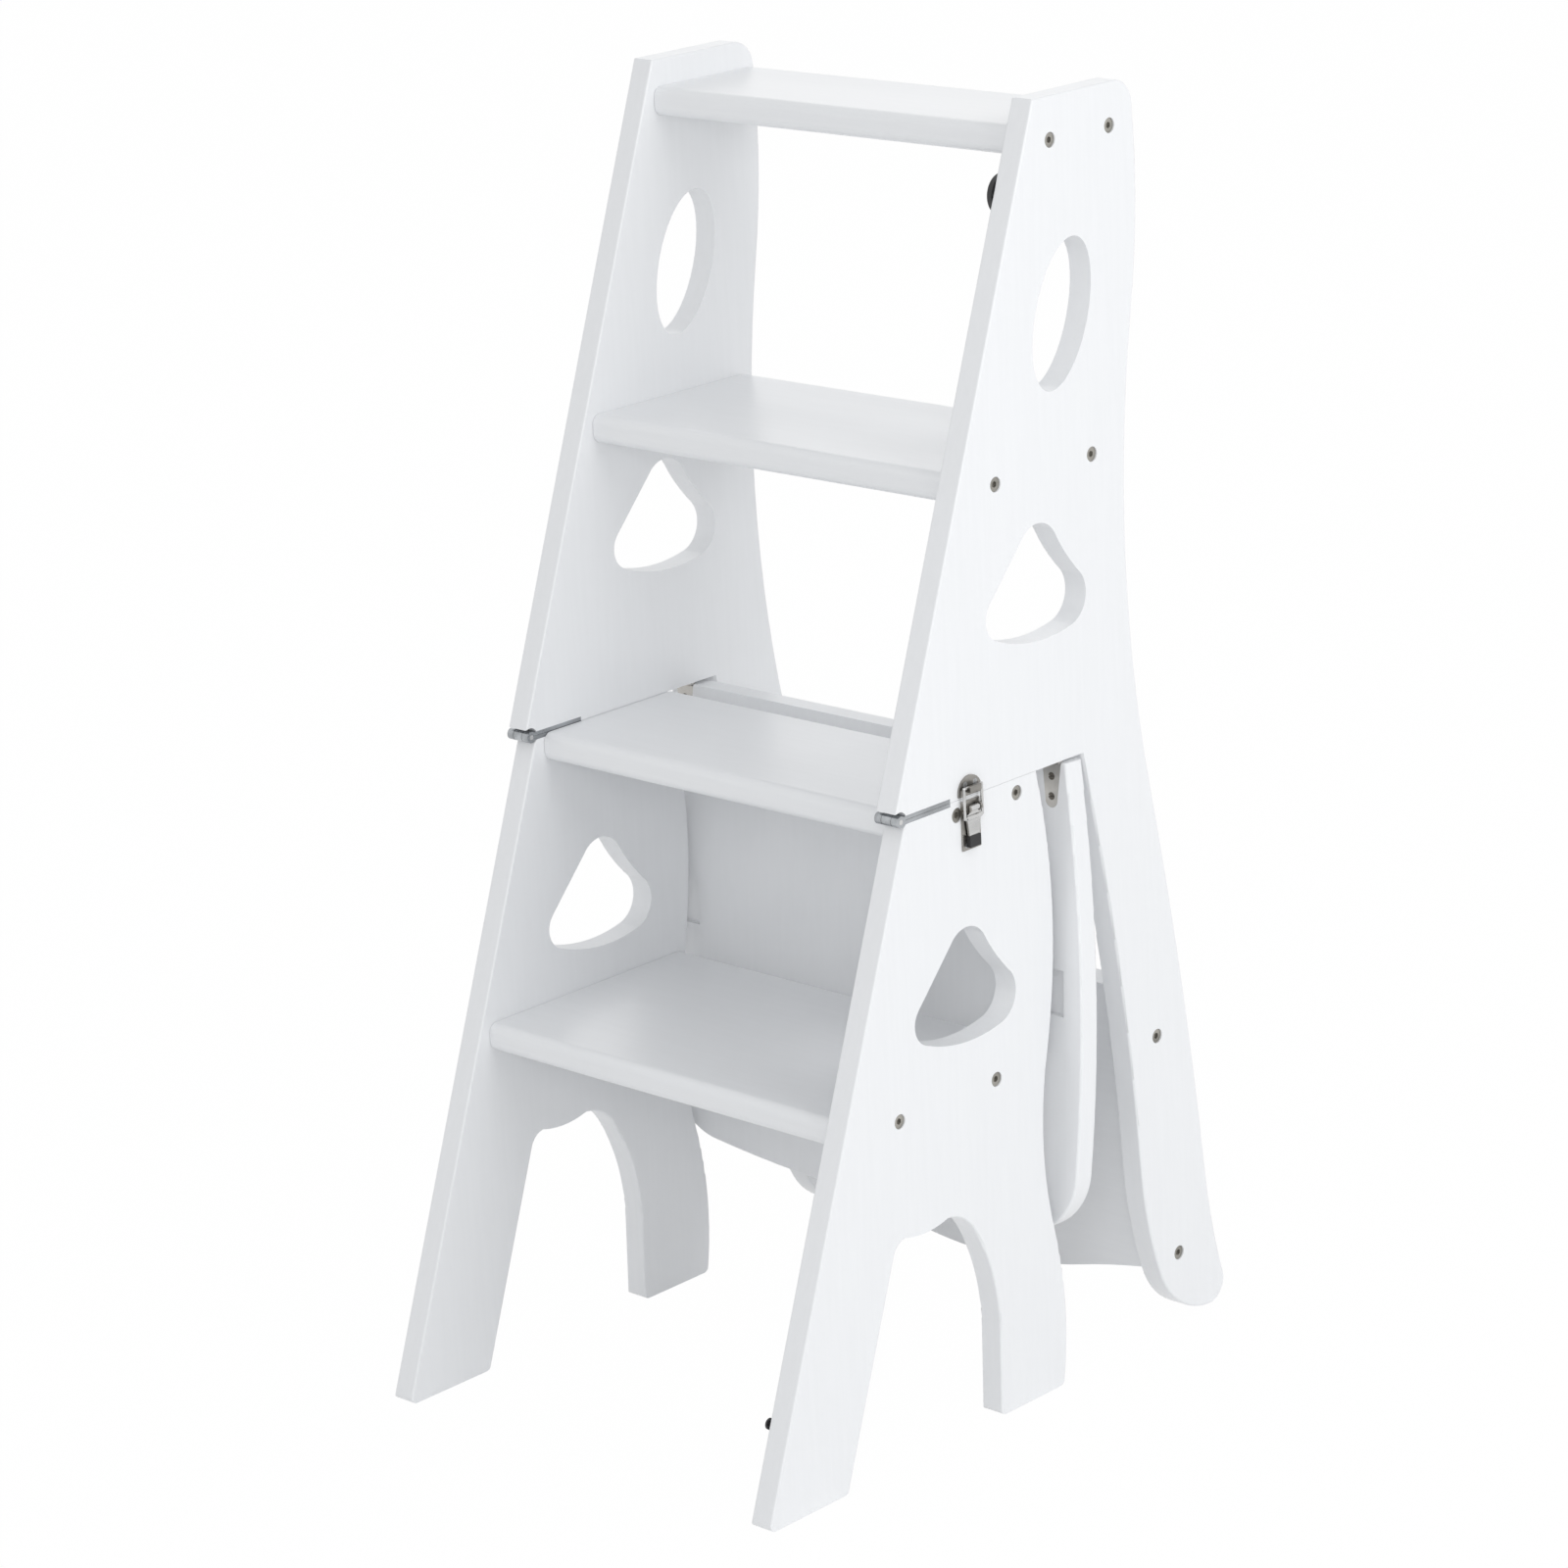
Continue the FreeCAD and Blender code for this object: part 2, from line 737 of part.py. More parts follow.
def bolt(name, y, z):
    """Connector bolt that lies along x, its socket head sunk in the outer face."""
    seat = S.half_width - S.bolt_head_sink - S.bolt_head_height
    head = rod(name + "_head", S.bolt_head_radius, S.bolt_head_height, seat, y, z, ALONG_X)
    stem = rod(name + "_stem", S.bolt_radius, S.bolt_reach, seat - S.bolt_reach, y, z, ALONG_X)
    socket = doc.addObject("Part::Prism", name + "_socket")
    socket.Polygon = 6
    socket.Circumradius = number(S.bolt_socket) / math.sqrt(3)
    bind(socket, "Circumradius", S.bolt_socket / math.sqrt(3))
    socket.Height = number(S.bolt_socket_depth)
    bind(socket, "Height", S.bolt_socket_depth)
    place(socket, S.half_width - S.bolt_head_sink - S.bolt_socket_depth, y, z, ALONG_X)
    return cut(name, fuse(name + "_whole", [head, stem]), [socket])


nut_x = S.half_width - S.nut_setback
thread_radius = S.bolt_radius + S.bolt_clearance
bolt_tip = S.half_width - S.bolt_head_sink - S.bolt_head_height - S.bolt_reach


def upright_nut(name, y, z):
    """Cross nut that stands upright in a tread, with the bolt's hole across it."""
    post = rod(name + "_post", S.nut_radius, S.nut_length, nut_x, y, z - S.nut_length / 2)
    hole = rod(name + "_thread", thread_radius, S.nut_radius * 4, nut_x - S.nut_radius * 2, y, z, ALONG_X)
    return cut(name, post, [hole])


def tread(name, data):
    """Tread with rounded front corners and eased ends, bored at each end for bolts and cross nuts."""
    low = data["middle"] - S.tread / 2
    high = data["middle"] + S.tread / 2
    front = data["front"]
    nose = front + S.tread_nose
    quarter_bulge = S.tread_nose * (1 - math.sqrt(0.5))
    corners = [
        (data["back"], low), (data["back"], high), (nose, high, quarter_bulge),
        (front, high - S.tread_nose), (front, low + S.tread_nose, quarter_bulge), (nose, low),
    ]
    body, sketch = new_body(name + "_blank", "YZ_Plane", lambda target: outline(target, corners))
    block = pad(body, sketch, inner * 2)
    ease_edges(body, block, S.tread_end_round, AXIS_X)
    bind(body, "Placement.Base.x", -inner)
    doc.recompute()
    bores = []
    for index, (y, z) in enumerate(data["bolts"]):
        tag = "%s_bore_%d" % (name, index)
        depth = inner - bolt_tip + S.nut_clearance
        bores.append(rod(tag, thread_radius, depth, inner - depth, y, z, ALONG_X))
        bores.append(rod(tag + "_nut", S.nut_radius + S.nut_clearance,
                         S.tread / 2 + S.nut_length / 2 + S.nut_clearance, nut_x, y, low))
    right = fuse(name + "_bores", bores)
    return cut(name, body, [right, mirror(name + "_bores_left", right)])


# Hinge places: barrel ends, middle knuckle and leaf heights
fold_low = inner - S.fold_overhang
fold_high = S.half_width + S.fold_overhang
fold_centre = (inner + S.half_width) / 2
fold_middle_low = fold_centre - S.fold_middle / 2
fold_middle_high = fold_centre + S.fold_middle / 2
fold_leaf_front = pin_y + S.fold_barrel_radius + S.knuckle_relief
fold_leaf_back = pin_y + S.fold_leaf_length
fold_lower_face = split - S.fold_leaf_gap / 2
fold_upper_face = split + S.fold_leaf_gap / 2
seat_leaf_low = fold_centre - S.seat_leaf_width / 2
seat_leaf_high = fold_centre + S.seat_leaf_width / 2
seat_middle_low = fold_centre - S.seat_middle / 2
seat_middle_high = fold_centre + S.seat_middle / 2
seat_relief_radius = S.seat_barrel_radius + S.knuckle_relief
fold_screws = [pin_y + S.fold_screw_first, pin_y + S.fold_screw_first + S.fold_screw_spacing]
seat_screws = [S.seat_screw_first, S.seat_screw_first + S.seat_screw_spacing]


def fold_leaf(name, z_range, own, sink_face, turn):
    """Leaf of a fold hinge: a plate let into the board's edge and knuckles around the pin."""
    plate = box(name + "_plate", (inner, S.half_width), (fold_leaf_front, fold_leaf_back), z_range)
    pieces = [plate]
    for index, (low, high) in enumerate(own):
        tag = "%s_knuckle_%d" % (name, index)
        pieces.append(rod(tag, S.fold_barrel_radius, high - low, low, pin_y, split, ALONG_X))
        pieces.append(box(tag + "_web", (low, high), (pin_y, fold_leaf_front), z_range))
    bore = rod(name + "_bore", S.fold_pin_radius + S.pin_clearance, fold_high - fold_low,
               fold_low, pin_y, split, ALONG_X)
    holes = [bore]
    for index, y in enumerate(fold_screws):
        holes.append(screw_hole("%s_sink_%d" % (name, index), S.fold_screw_head, S.fold_screw_shank,
                                S.fold_leaf, S.pin_clearance, fold_centre, y, sink_face, turn))
    return cut(name, fuse(name + "_whole", pieces), holes)


def span(along, near, far):
    """Range from near to far on one side of zero."""
    return (near, far) if along > 0 else (-far, -near)


def seat_strap(name, along, start, z_range):
    """Tapered strap with a round end, from start to the far end of a seat hinge's leaf."""
    end_radius = S.seat_leaf_tip / 2
    straight = S.seat_leaf_length - end_radius
    wide = (seat_leaf_low, seat_leaf_high)
    narrow = (fold_centre - end_radius, fold_centre + end_radius)
    widths = (wide, narrow) if along > 0 else (narrow, wide)
    plate = taper(name + "_plate", span(along, start, straight), widths[0], widths[1], z_range)
    tongue = rod(name + "_end", end_radius, z_range[1] - z_range[0], fold_centre, straight * along,
                 z_range[0])
    return [plate, tongue]


def seat_leaf(name, own, along, place_leaf):
    """Leaf of a seat hinge in its own frame: the axis is x and the plate runs along y above it."""
    z_range = (S.seat_face_gap, S.seat_face_gap + S.seat_leaf)
    start = seat_relief_radius
    pieces = seat_strap(name, along, start, z_range)
    for index, (low, high) in enumerate(own):
        tag = "%s_knuckle_%d" % (name, index)
        pieces.append(rod(tag, S.seat_barrel_radius, high - low, low, turn=ALONG_X))
        pieces.append(box(tag + "_web", (low, high), span(along, NOTHING, start), z_range))
    holes = [rod(name + "_bore", S.seat_pin_radius + S.pin_clearance, S.seat_leaf_width,
                 seat_leaf_low, turn=ALONG_X)]
    for index, distance in enumerate(seat_screws):
        holes.append(screw_hole("%s_sink_%d" % (name, index), S.seat_screw_head, S.seat_screw_shank,
                                S.seat_leaf, S.pin_clearance, fold_centre, distance * along,
                                S.seat_face_gap, ALONG_Z))
    return place_leaf(cut(name, fuse(name + "_whole", pieces), holes))


def on_frame(piece):
    """From the seat hinge's own frame to the upper boards' bottom edge."""
    return place(piece, 0, seat_axis_y, split)


def on_seat(piece):
    """From the seat hinge's own frame to the hanging seat panel."""
    place(piece, 0, seat_axis_y, split, FreeCAD.Rotation(AXIS_X, -90 - S.seat_lean.value))
    piece.setExpression("Placement.Rotation.Angle", "(-90 - %s) * 1 deg" % S.seat_lean.text)
    return piece


def seat_recess(name, along, place_recess):
    """Space for a seat hinge leaf, its barrel and its screws, in the hinge's own frame."""
    strap = seat_strap(name, along, seat_relief_radius, (NOTHING, S.seat_face_gap + S.seat_leaf))
    mouth = box(name + "_mouth", (seat_leaf_low, seat_leaf_high), span(along, NOTHING, seat_relief_radius),
                (NOTHING, S.seat_face_gap + S.seat_leaf))
    barrel = rod(name + "_barrel", seat_relief_radius, S.seat_leaf_width + S.knuckle_gap * 2,
                 seat_leaf_low - S.knuckle_gap, turn=ALONG_X)
    pilots = []
    for index, distance in enumerate(seat_screws):
        pilots.append(rod("%s_pilot_%d" % (name, index), S.seat_screw_shank, S.seat_screw_length,
                          fold_centre, distance * along, S.seat_face_gap))
    return place_recess(fuse(name, strap + [mouth, barrel] + pilots))


def fold_recess(name, z_range, face, turn):
    """Space for a fold hinge leaf in a board's edge, its barrel and its screws."""
    slot = box(name + "_slot", (inner, S.half_width), (pin_y, fold_leaf_back), z_range)
    barrel = rod(name + "_barrel", S.fold_relief_radius, S.board, inner, pin_y, split, ALONG_X)
    pilots = []
    for index, y in enumerate(fold_screws):
        pilots.append(rod("%s_pilot_%d" % (name, index), S.fold_screw_shank, S.fold_screw_length,
                          fold_centre, y, face, turn))
    return fuse(name, [slot, barrel] + pilots)


latch_y = pin_y + S.latch_reach
latch_face = S.half_width
latch_plate_face = latch_face + S.latch_plate
latch_pivot_x = latch_face + S.latch_pivot_out
latch_pivot_z = split - S.latch_pivot_drop
latch_base_low = split - S.latch_base_drop
keeper_low = split + S.keeper_bottom
keeper_centre = keeper_low + S.keeper_height
base_screw_z = latch_base_low + S.latch_screw_edge
keeper_screw_z = keeper_centre + S.keeper_screw_rise
TO_MINUS_X = FreeCAD.Rotation(AXIS_Y, -90)
latch_screw_sides = [latch_y - S.latch_screw_half, latch_y + S.latch_screw_half]


def latch_pilots(name, z):
    return [rod("%s_pilot_%d" % (name, index), S.latch_screw_shank, S.latch_screw_length,
                latch_plate_face, y, z, TO_MINUS_X) for index, y in enumerate(latch_screw_sides)]


def latch_sinks(name, z):
    return [screw_hole("%s_sink_%d" % (name, index), S.latch_screw_head, S.latch_screw_shank,
                       S.latch_plate, S.pin_clearance, latch_plate_face, y, z, TO_MINUS_X)
            for index, y in enumerate(latch_screw_sides)]


def latch_screws(name, z):
    return group(name, [screw("%s_%d" % (name, index), S.latch_screw_head, S.latch_screw_shank,
                              S.latch_screw_length, latch_plate_face, y, z, TO_MINUS_X)
                        for index, y in enumerate(latch_screw_sides)])


# Catch: the hook's pivot on the upper board and the knob that it meets in the chair position
catch_z = top_height - S.catch_below_top
catch_y = upper_front_at(catch_z) + S.catch_inset
knob_y = pin_y * 2 - catch_y + root(S.catch_length * S.catch_length - S.knob_rise * S.knob_rise)
knob_z = top_height - catch_z + S.knob_rise
catch_face = inner - S.catch_play
catch_back = catch_face - S.catch_thickness

NODES = []


def node(piece, label=None):
    piece.Label = label or piece.Name
    NODES.append(piece)
    return piece


# Lower half
lower_blank = side_blank("lower_blank", draw_lower, (0, S.arch_height, lower_edge))
front_toe = lower_front_at(NOTHING)
rear_heel = pin_y + S.rear_foot_reach
foot_corners = [
    corner_cutter("front_toe_corner", front_toe, -1, lean_sin, S.toe_corner),
    corner_cutter("front_heel_corner", front_toe + S.front_foot, 1, lean_sin, S.foot_corner),
    corner_cutter("rear_toe_corner", rear_heel - S.rear_foot, -1, NOTHING, S.toe_corner),
    corner_cutter("rear_heel_corner", rear_heel, 1, S.heel_lean, S.foot_corner),
]
lower_side = cut("lower_side", lower_blank, foot_corners + bolt_cutters("lower", LOWER_BOLTS) + [
    fold_recess("fold_lower_recess", (fold_lower_face - S.fold_leaf, split), fold_lower_face, TO_MINUS_Z)])
lower_right = cut("lower_right_side", lower_side, latch_pilots("latch_base", base_screw_z) + [
    rod("knob_pilot", S.knob_neck, S.catch_screw_length, inner, knob_y, knob_z, ALONG_X)])
node(lower_right)
node(mirror("lower_left_side", lower_side))
node(tread("third_tread", TREADS["third_tread"]))
node(tread("bottom_tread", TREADS["bottom_tread"]))
node(both_sides("lower_tread_bolts",
                [bolt("lower_bolt_%d" % index, y, z) for index, (y, z) in enumerate(LOWER_BOLTS)]))
node(both_sides("lower_barrel_nuts",
                [upright_nut("lower_nut_%d" % index, y, z) for index, (y, z) in enumerate(LOWER_BOLTS)]))

fold_middle_knuckle = [(fold_middle_low, fold_middle_high)]
fold_outer_knuckles = [
    (fold_low, fold_middle_low - S.knuckle_gap),
    (fold_middle_high + S.knuckle_gap, fold_high),
]
node(both_sides("fold_hinge_lower_leaves", [fold_leaf(
    "fold_lower_leaf", (fold_lower_face - S.fold_leaf, fold_lower_face), fold_middle_knuckle,
    fold_lower_face, TO_MINUS_Z)]))
node(both_sides("fold_hinge_pins", [rod(
    "fold_pin", S.fold_pin_radius, fold_high - fold_low, fold_low, pin_y, split, ALONG_X)]))
node(both_sides("fold_hinge_lower_screws", [
    screw("fold_lower_screw_%d" % index, S.fold_screw_head, S.fold_screw_shank, S.fold_screw_length,
          fold_centre, y, fold_lower_face, TO_MINUS_Z) for index, y in enumerate(fold_screws)]))

# Upper half
upper_blank = side_blank("upper_blank", draw_upper, (upper_edge,))
upper_side = cut("upper_side", upper_blank, bolt_cutters("upper", UPPER_BOLTS + PANEL_BOLTS) + [
    fold_recess("fold_upper_recess", (split, fold_upper_face + S.fold_leaf), fold_upper_face, ALONG_Z),
    seat_recess("seat_frame_recess", -1, on_frame)])
upper_right = cut("upper_right_side", upper_side, latch_pilots("latch_keeper", keeper_screw_z) + [
    rod("catch_pilot", S.catch_screw_radius, S.catch_screw_length, inner, catch_y, catch_z, ALONG_X)])
node(upper_right)
node(mirror("upper_left_side", upper_side))
node(tread("second_tread", TREADS["second_tread"]))
node(tread("top_tread", TREADS["top_tread"]))
node(both_sides("upper_tread_bolts",
                [bolt("upper_bolt_%d" % index, y, z) for index, (y, z) in enumerate(UPPER_BOLTS)]))
node(both_sides("upper_barrel_nuts",
                [upright_nut("upper_nut_%d" % index, y, z) for index, (y, z) in enumerate(UPPER_BOLTS)]))
node(both_sides("panel_bolts",
                [bolt("panel_bolt_%d" % index, y, z) for index, (y, z) in enumerate(PANEL_BOLTS)]))


def on_panel(piece, x=0, y=0, z=0):
    """From the panel's own frame, x across and z up the panel, to its leaning place at the lower bolts."""
    shift_y = panel_y + y * panel_cos - z * panel_sin
    shift_z = panel_z + y * panel_sin + z * panel_cos
    place(piece, x, shift_y, shift_z, FreeCAD.Rotation(AXIS_X, S.panel_lean.value))
    piece.setExpression("Placement.Rotation.Angle", "%s * 1 deg" % S.panel_lean.text)
    return piece


def backrest():
    """Backrest panel: straight edge where it faces the floor of the chair, crowned other edge."""
    corners = [
        (-inner, S.panel_rise),
        (-inner, -S.panel_end_drop, (S.panel_end_bulge, False)),
        (-S.panel_hump_half, -S.panel_hump_drop, S.panel_hump_bulge),
        (S.panel_hump_half, -S.panel_hump_drop, (S.panel_end_bulge, False)),
        (inner, -S.panel_end_drop),
        (inner, S.panel_rise),
    ]
    body, sketch = new_body("backrest_blank", "XZ_Plane", lambda target: outline(target, corners))
    shift = S.panel_thickness / 2
    sketch.AttachmentOffset = FreeCAD.Placement(FreeCAD.Vector(0, 0, shift.value), FreeCAD.Rotation())
    bind(sketch, "AttachmentOffset.Base.z", shift)
    pad(body, sketch, S.panel_thickness, True)
    on_panel(body)
    doc.recompute()
    bores = []
    depth = inner - bolt_tip + S.nut_clearance
    nut_depth = (S.panel_thickness + S.nut_length) / 2 + S.nut_clearance
    for index, rise in enumerate((NOTHING, S.panel_bolt_spacing)):
        y, z = PANEL_BOLTS[index]
        bores.append(rod("panel_bore_%d" % index, thread_radius, depth, inner - depth, y, z, ALONG_X))
        pocket = rod("panel_nut_pocket_%d" % index, S.nut_radius + S.nut_clearance, nut_depth,
                     y=S.panel_thickness / 2 - nut_depth, turn=ALONG_Y)
        bores.append(on_panel(group("panel_nut_place_%d" % index, [pocket]), nut_x, z=rise))
    right = fuse("panel_bores", bores)
    return cut("backrest_panel", body, [right, mirror("panel_bores_left", right)])


def panel_nut(name, rise):
    """Cross nut that lies across the panel's thickness."""
    post = rod(name + "_post", S.nut_radius, S.nut_length, y=-S.nut_length / 2, turn=ALONG_Y)
    hole = rod(name + "_thread", thread_radius, S.nut_radius * 4, -S.nut_radius * 2, turn=ALONG_X)
    return on_panel(cut(name, post, [hole]), nut_x, z=rise)


node(backrest())
node(both_sides("panel_barrel_nuts", [
    panel_nut("panel_nut_0", NOTHING), panel_nut("panel_nut_1", S.panel_bolt_spacing)]))
node(both_sides("fold_hinge_upper_leaves", [fold_leaf(
    "fold_upper_leaf", (fold_upper_face, fold_upper_face + S.fold_leaf), fold_outer_knuckles,
    fold_upper_face, ALONG_Z)]))
node(both_sides("fold_hinge_upper_screws", [
    screw("fold_upper_screw_%d" % index, S.fold_screw_head, S.fold_screw_shank, S.fold_screw_length,
          fold_centre, y, fold_upper_face, ALONG_Z) for index, y in enumerate(fold_screws)]))

# Seat hinges
seat_middle_knuckle = [(seat_middle_low, seat_middle_high)]
seat_outer_knuckles = [
    (seat_leaf_low, seat_middle_low - S.knuckle_gap), (seat_middle_high + S.knuckle_gap, seat_leaf_high)]
node(both_sides("seat_hinge_frame_leaves", [seat_leaf("seat_frame_leaf", seat_outer_knuckles, -1, on_frame)]))
node(both_sides("seat_hinge_pins", [on_frame(group("seat_pin_place", [rod(
    "seat_pin", S.seat_pin_radius, S.seat_leaf_width, seat_leaf_low, turn=ALONG_X)]))]))


def seat_hinge_screws(name, along, place_screws):
    pieces = []
    for index, distance in enumerate(seat_screws):
        pieces.append(screw("%s_%d" % (name, index), S.seat_screw_head, S.seat_screw_shank,
                            S.seat_screw_length, fold_centre, distance * along, S.seat_face_gap, ALONG_Z))
    return both_sides(name, [place_screws(group(name + "_set", pieces))])


node(seat_hinge_screws("seat_hinge_frame_screws", -1, on_frame))


# Seat panel
def seat():
    """Seat panel hanging from its hinge axis: wide board with bowed sides and front edge."""
    corners = [
        (S.seat_top_half, -S.seat_top),
        (-S.seat_top_half, -S.seat_top, S.seat_side_bulge),
        (-S.seat_corner_half, -S.seat_corner_drop, S.seat_corner_bulge),
        (-S.seat_front_half, -S.seat_front_drop, S.seat_front_bulge),
        (S.seat_front_half, -S.seat_front_drop, S.seat_corner_bulge),
        (S.seat_corner_half, -S.seat_corner_drop, S.seat_side_bulge),
    ]
    body, sketch = new_body("seat_blank", "XZ_Plane", lambda target: outline(target, corners))
    sketch.AttachmentOffset = FreeCAD.Placement(
        FreeCAD.Vector(0, 0, -S.seat_face_gap.value), FreeCAD.Rotation())
    bind(sketch, "AttachmentOffset.Base.z", -S.seat_face_gap)
    block = pad(body, sketch, S.seat_thickness, True)
    ease_edges(body, block, S.seat_edge_round, AXIS_Y, (-S.seat_top,))
    place(body, 0, seat_axis_y, split, FreeCAD.Rotation(AXIS_X, -S.seat_lean.value))
    body.setExpression("Placement.Rotation.Angle", "(0 - %s) * 1 deg" % S.seat_lean.text)
    doc.recompute()
    middle = S.seat_axis_reach
    relief = box("seat_relief_block", (fold_low - S.relief_margin, fold_high + S.relief_margin),
                 (NOTHING, S.seat_face_gap + S.relief_depth),
                 (-middle - S.relief_length / 2, -middle + S.relief_length / 2))
    relief_place = place(group("seat_relief", [relief]), 0, seat_axis_y, split,
                         FreeCAD.Rotation(AXIS_X, -S.seat_lean.value))
    relief_place.setExpression("Placement.Rotation.Angle", "(0 - %s) * 1 deg" % S.seat_lean.text)
    right = fuse("seat_cutters_right", [relief_place, seat_recess("seat_recess", 1, on_seat)])
    return cut("seat_panel", body, [right, mirror("seat_cutters_left", right)])


node(seat())
node(both_sides("seat_hinge_seat_leaves", [seat_leaf("seat_seat_leaf", seat_middle_knuckle, 1, on_seat)]))
node(seat_hinge_screws("seat_hinge_seat_screws", 1, on_seat))


# Draw latch
def latch_base():
    """Plate on the lower board with two ears that carry the lever's pin."""
    low = latch_base_low
    plate = box("latch_base_plate", (latch_face, latch_plate_face),
                (latch_y - S.latch_half, latch_y + S.latch_half), (low, low + S.latch_base_height))
    pieces = [plate]
    near = S.lever_hub_half + S.latch_play
    far = near + S.latch_ear
    for side, (first, last) in (("front", (-far, -near)), ("back", (near, far))):
        pieces.append(box("latch_ear_%s" % side, (latch_face, latch_pivot_x),
                          (latch_y + first, latch_y + last),
                          (latch_pivot_z - S.latch_ear_radius, latch_pivot_z + S.latch_ear_radius)))
        pieces.append(rod("latch_ear_end_%s" % side, S.latch_ear_radius, S.latch_ear,
                          latch_pivot_x, latch_y + first, latch_pivot_z, ALONG_Y))
    bore = rod("latch_bore", S.latch_pin_radius + S.pin_clearance, far * 2, latch_pivot_x,
               latch_y - far, latch_pivot_z, ALONG_Y)
    holes = [bore] + latch_sinks("latch_base", base_screw_z)
    return cut("latch_base", fuse("latch_base_whole", pieces), holes)


lever_out = latch_face + S.lever_lift
lever_low = latch_pivot_z - S.lever_length
bail_x = latch_face + S.bail_out
bail_z = latch_pivot_z - S.bail_drop
bail_top = split + S.bail_rise


def latch_lever():
    """Lever: hub on the pin, tapered handle below it and a boss that carries the wire bail."""
    shoulder = latch_pivot_z - S.lever_shoulder
    tongue_top = lever_low + S.grip_length
    corners = [
        (latch_y - S.lever_tip_half, lever_low),
        (latch_y + S.lever_tip_half, lever_low),
        (latch_y + S.lever_tip_half, tongue_top),
        (latch_y + S.lever_half, shoulder, S.lever_crown),
        (latch_y - S.lever_half, shoulder),
        (latch_y - S.lever_tip_half, tongue_top),
    ]
    handle, sketch = new_body("lever_handle", "YZ_Plane", lambda target: outline(target, corners))
    pad(handle, sketch, S.lever_thickness)
    bind(handle, "Placement.Base.x", lever_out)
    doc.recompute()
    hub = rod("lever_hub", S.lever_hub_radius, S.lever_hub_half * 2, latch_pivot_x,
              latch_y - S.lever_hub_half, latch_pivot_z, ALONG_Y)
    neck = box("lever_neck", (lever_out, lever_out + S.lever_thickness),
               (latch_y - S.lever_hub_half, latch_y + S.lever_hub_half), (bail_z, latch_pivot_z))
    boss = rod("lever_boss", S.bail_boss_radius, S.lever_half * 2, bail_x, latch_y - S.lever_half,
               bail_z, ALONG_Y)
    bores = [
        rod("lever_pin_bore", S.latch_pin_radius + S.pin_clearance, S.lever_hub_half * 2,
            latch_pivot_x, latch_y - S.lever_hub_half, latch_pivot_z, ALONG_Y),
        rod("lever_bail_bore", S.bail_wire + S.pin_clearance, S.lever_half * 2,
            bail_x, latch_y - S.lever_half, bail_z, ALONG_Y),
    ]
    return cut("latch_lever", fuse("latch_lever_whole", [hub, neck, handle, boss]), bores)


def latch_grip():
    """Dark sleeve pushed over the lever's free end."""
    shell = box("grip_shell", (lever_out - S.grip_wall, lever_out + S.lever_thickness + S.grip_wall),
                (latch_y - S.lever_tip_half - S.grip_wall / 2, latch_y + S.lever_tip_half + S.grip_wall / 2),
                (lever_low - S.grip_wall, lever_low + S.grip_length))
    space = box("grip_space", (lever_out, lever_out + S.lever_thickness),
                (latch_y - S.lever_tip_half, latch_y + S.lever_tip_half),
                (lever_low, lever_low + S.grip_length))
    return cut("latch_grip", shell, [space])


def latch_bail():
    """Wire bail: two stubs in the lever's boss, two arms and the bar that the keeper holds."""
    pieces = [rod("bail_bar", S.bail_wire, S.bail_half * 2, bail_x, latch_y - S.bail_half, bail_top, ALONG_Y)]
    stub = S.bail_half - S.lever_half + S.bail_stub
    for side, y, stub_start in (("front", latch_y - S.bail_half, latch_y - S.bail_half),
                                ("back", latch_y + S.bail_half, latch_y + S.bail_half - stub)):
        pieces.append(rod("bail_arm_%s" % side, S.bail_wire, bail_top - bail_z, bail_x, y, bail_z))
        pieces.append(rod("bail_stub_%s" % side, S.bail_wire, stub, bail_x, stub_start, bail_z, ALONG_Y))
        pieces.append(ball("bail_elbow_low_%s" % side, S.bail_wire, bail_x, y, bail_z))
        pieces.append(ball("bail_elbow_top_%s" % side, S.bail_wire, bail_x, y, bail_top))
    return fuse("latch_bail", pieces)


def latch_keeper():
    """Keeper plate on the upper board with a rounded top and a hook for the bail's bar."""
    plate = box("keeper_plate", (latch_face, latch_plate_face),
                (latch_y - S.keeper_half, latch_y + S.keeper_half), (keeper_low, keeper_centre))
    crown = rod("keeper_crown", S.keeper_half, S.latch_plate, latch_face, latch_y, keeper_centre, ALONG_X)
    crown_limit = box("keeper_limit", (latch_face, latch_plate_face),
                      (latch_y - S.keeper_half, latch_y + S.keeper_half),
                      (keeper_centre - S.keeper_half, keeper_centre))
    shelf_top = bail_top - S.bail_wire - S.latch_play
    lip_in = bail_x + S.bail_wire + S.latch_play
    lip_out = lip_in + S.latch_plate
    sides = (latch_y - S.keeper_hook_half, latch_y + S.keeper_hook_half)
    shelf = box("keeper_shelf", (latch_face, lip_out), sides, (shelf_top - S.latch_plate, shelf_top))
    lip = box("keeper_lip_plate", (lip_in, lip_out), sides,
              (shelf_top - S.latch_plate, shelf_top + S.keeper_lip))
    whole = fuse("keeper_whole", [cut("keeper_crown_half", crown, [crown_limit]), plate, shelf, lip])
    return cut("latch_keeper", whole, latch_sinks("latch_keeper", keeper_screw_z))


pin_half = S.lever_hub_half + S.latch_play + S.latch_ear
node(latch_base())
node(latch_screws("latch_base_screws", base_screw_z))
node(rod("latch_pin", S.latch_pin_radius, pin_half * 2, latch_pivot_x, latch_y - pin_half,
         latch_pivot_z, ALONG_Y))
node(latch_lever())
node(latch_grip())
node(latch_bail())
node(latch_keeper())
node(latch_screws("latch_keeper_screws", keeper_screw_z))


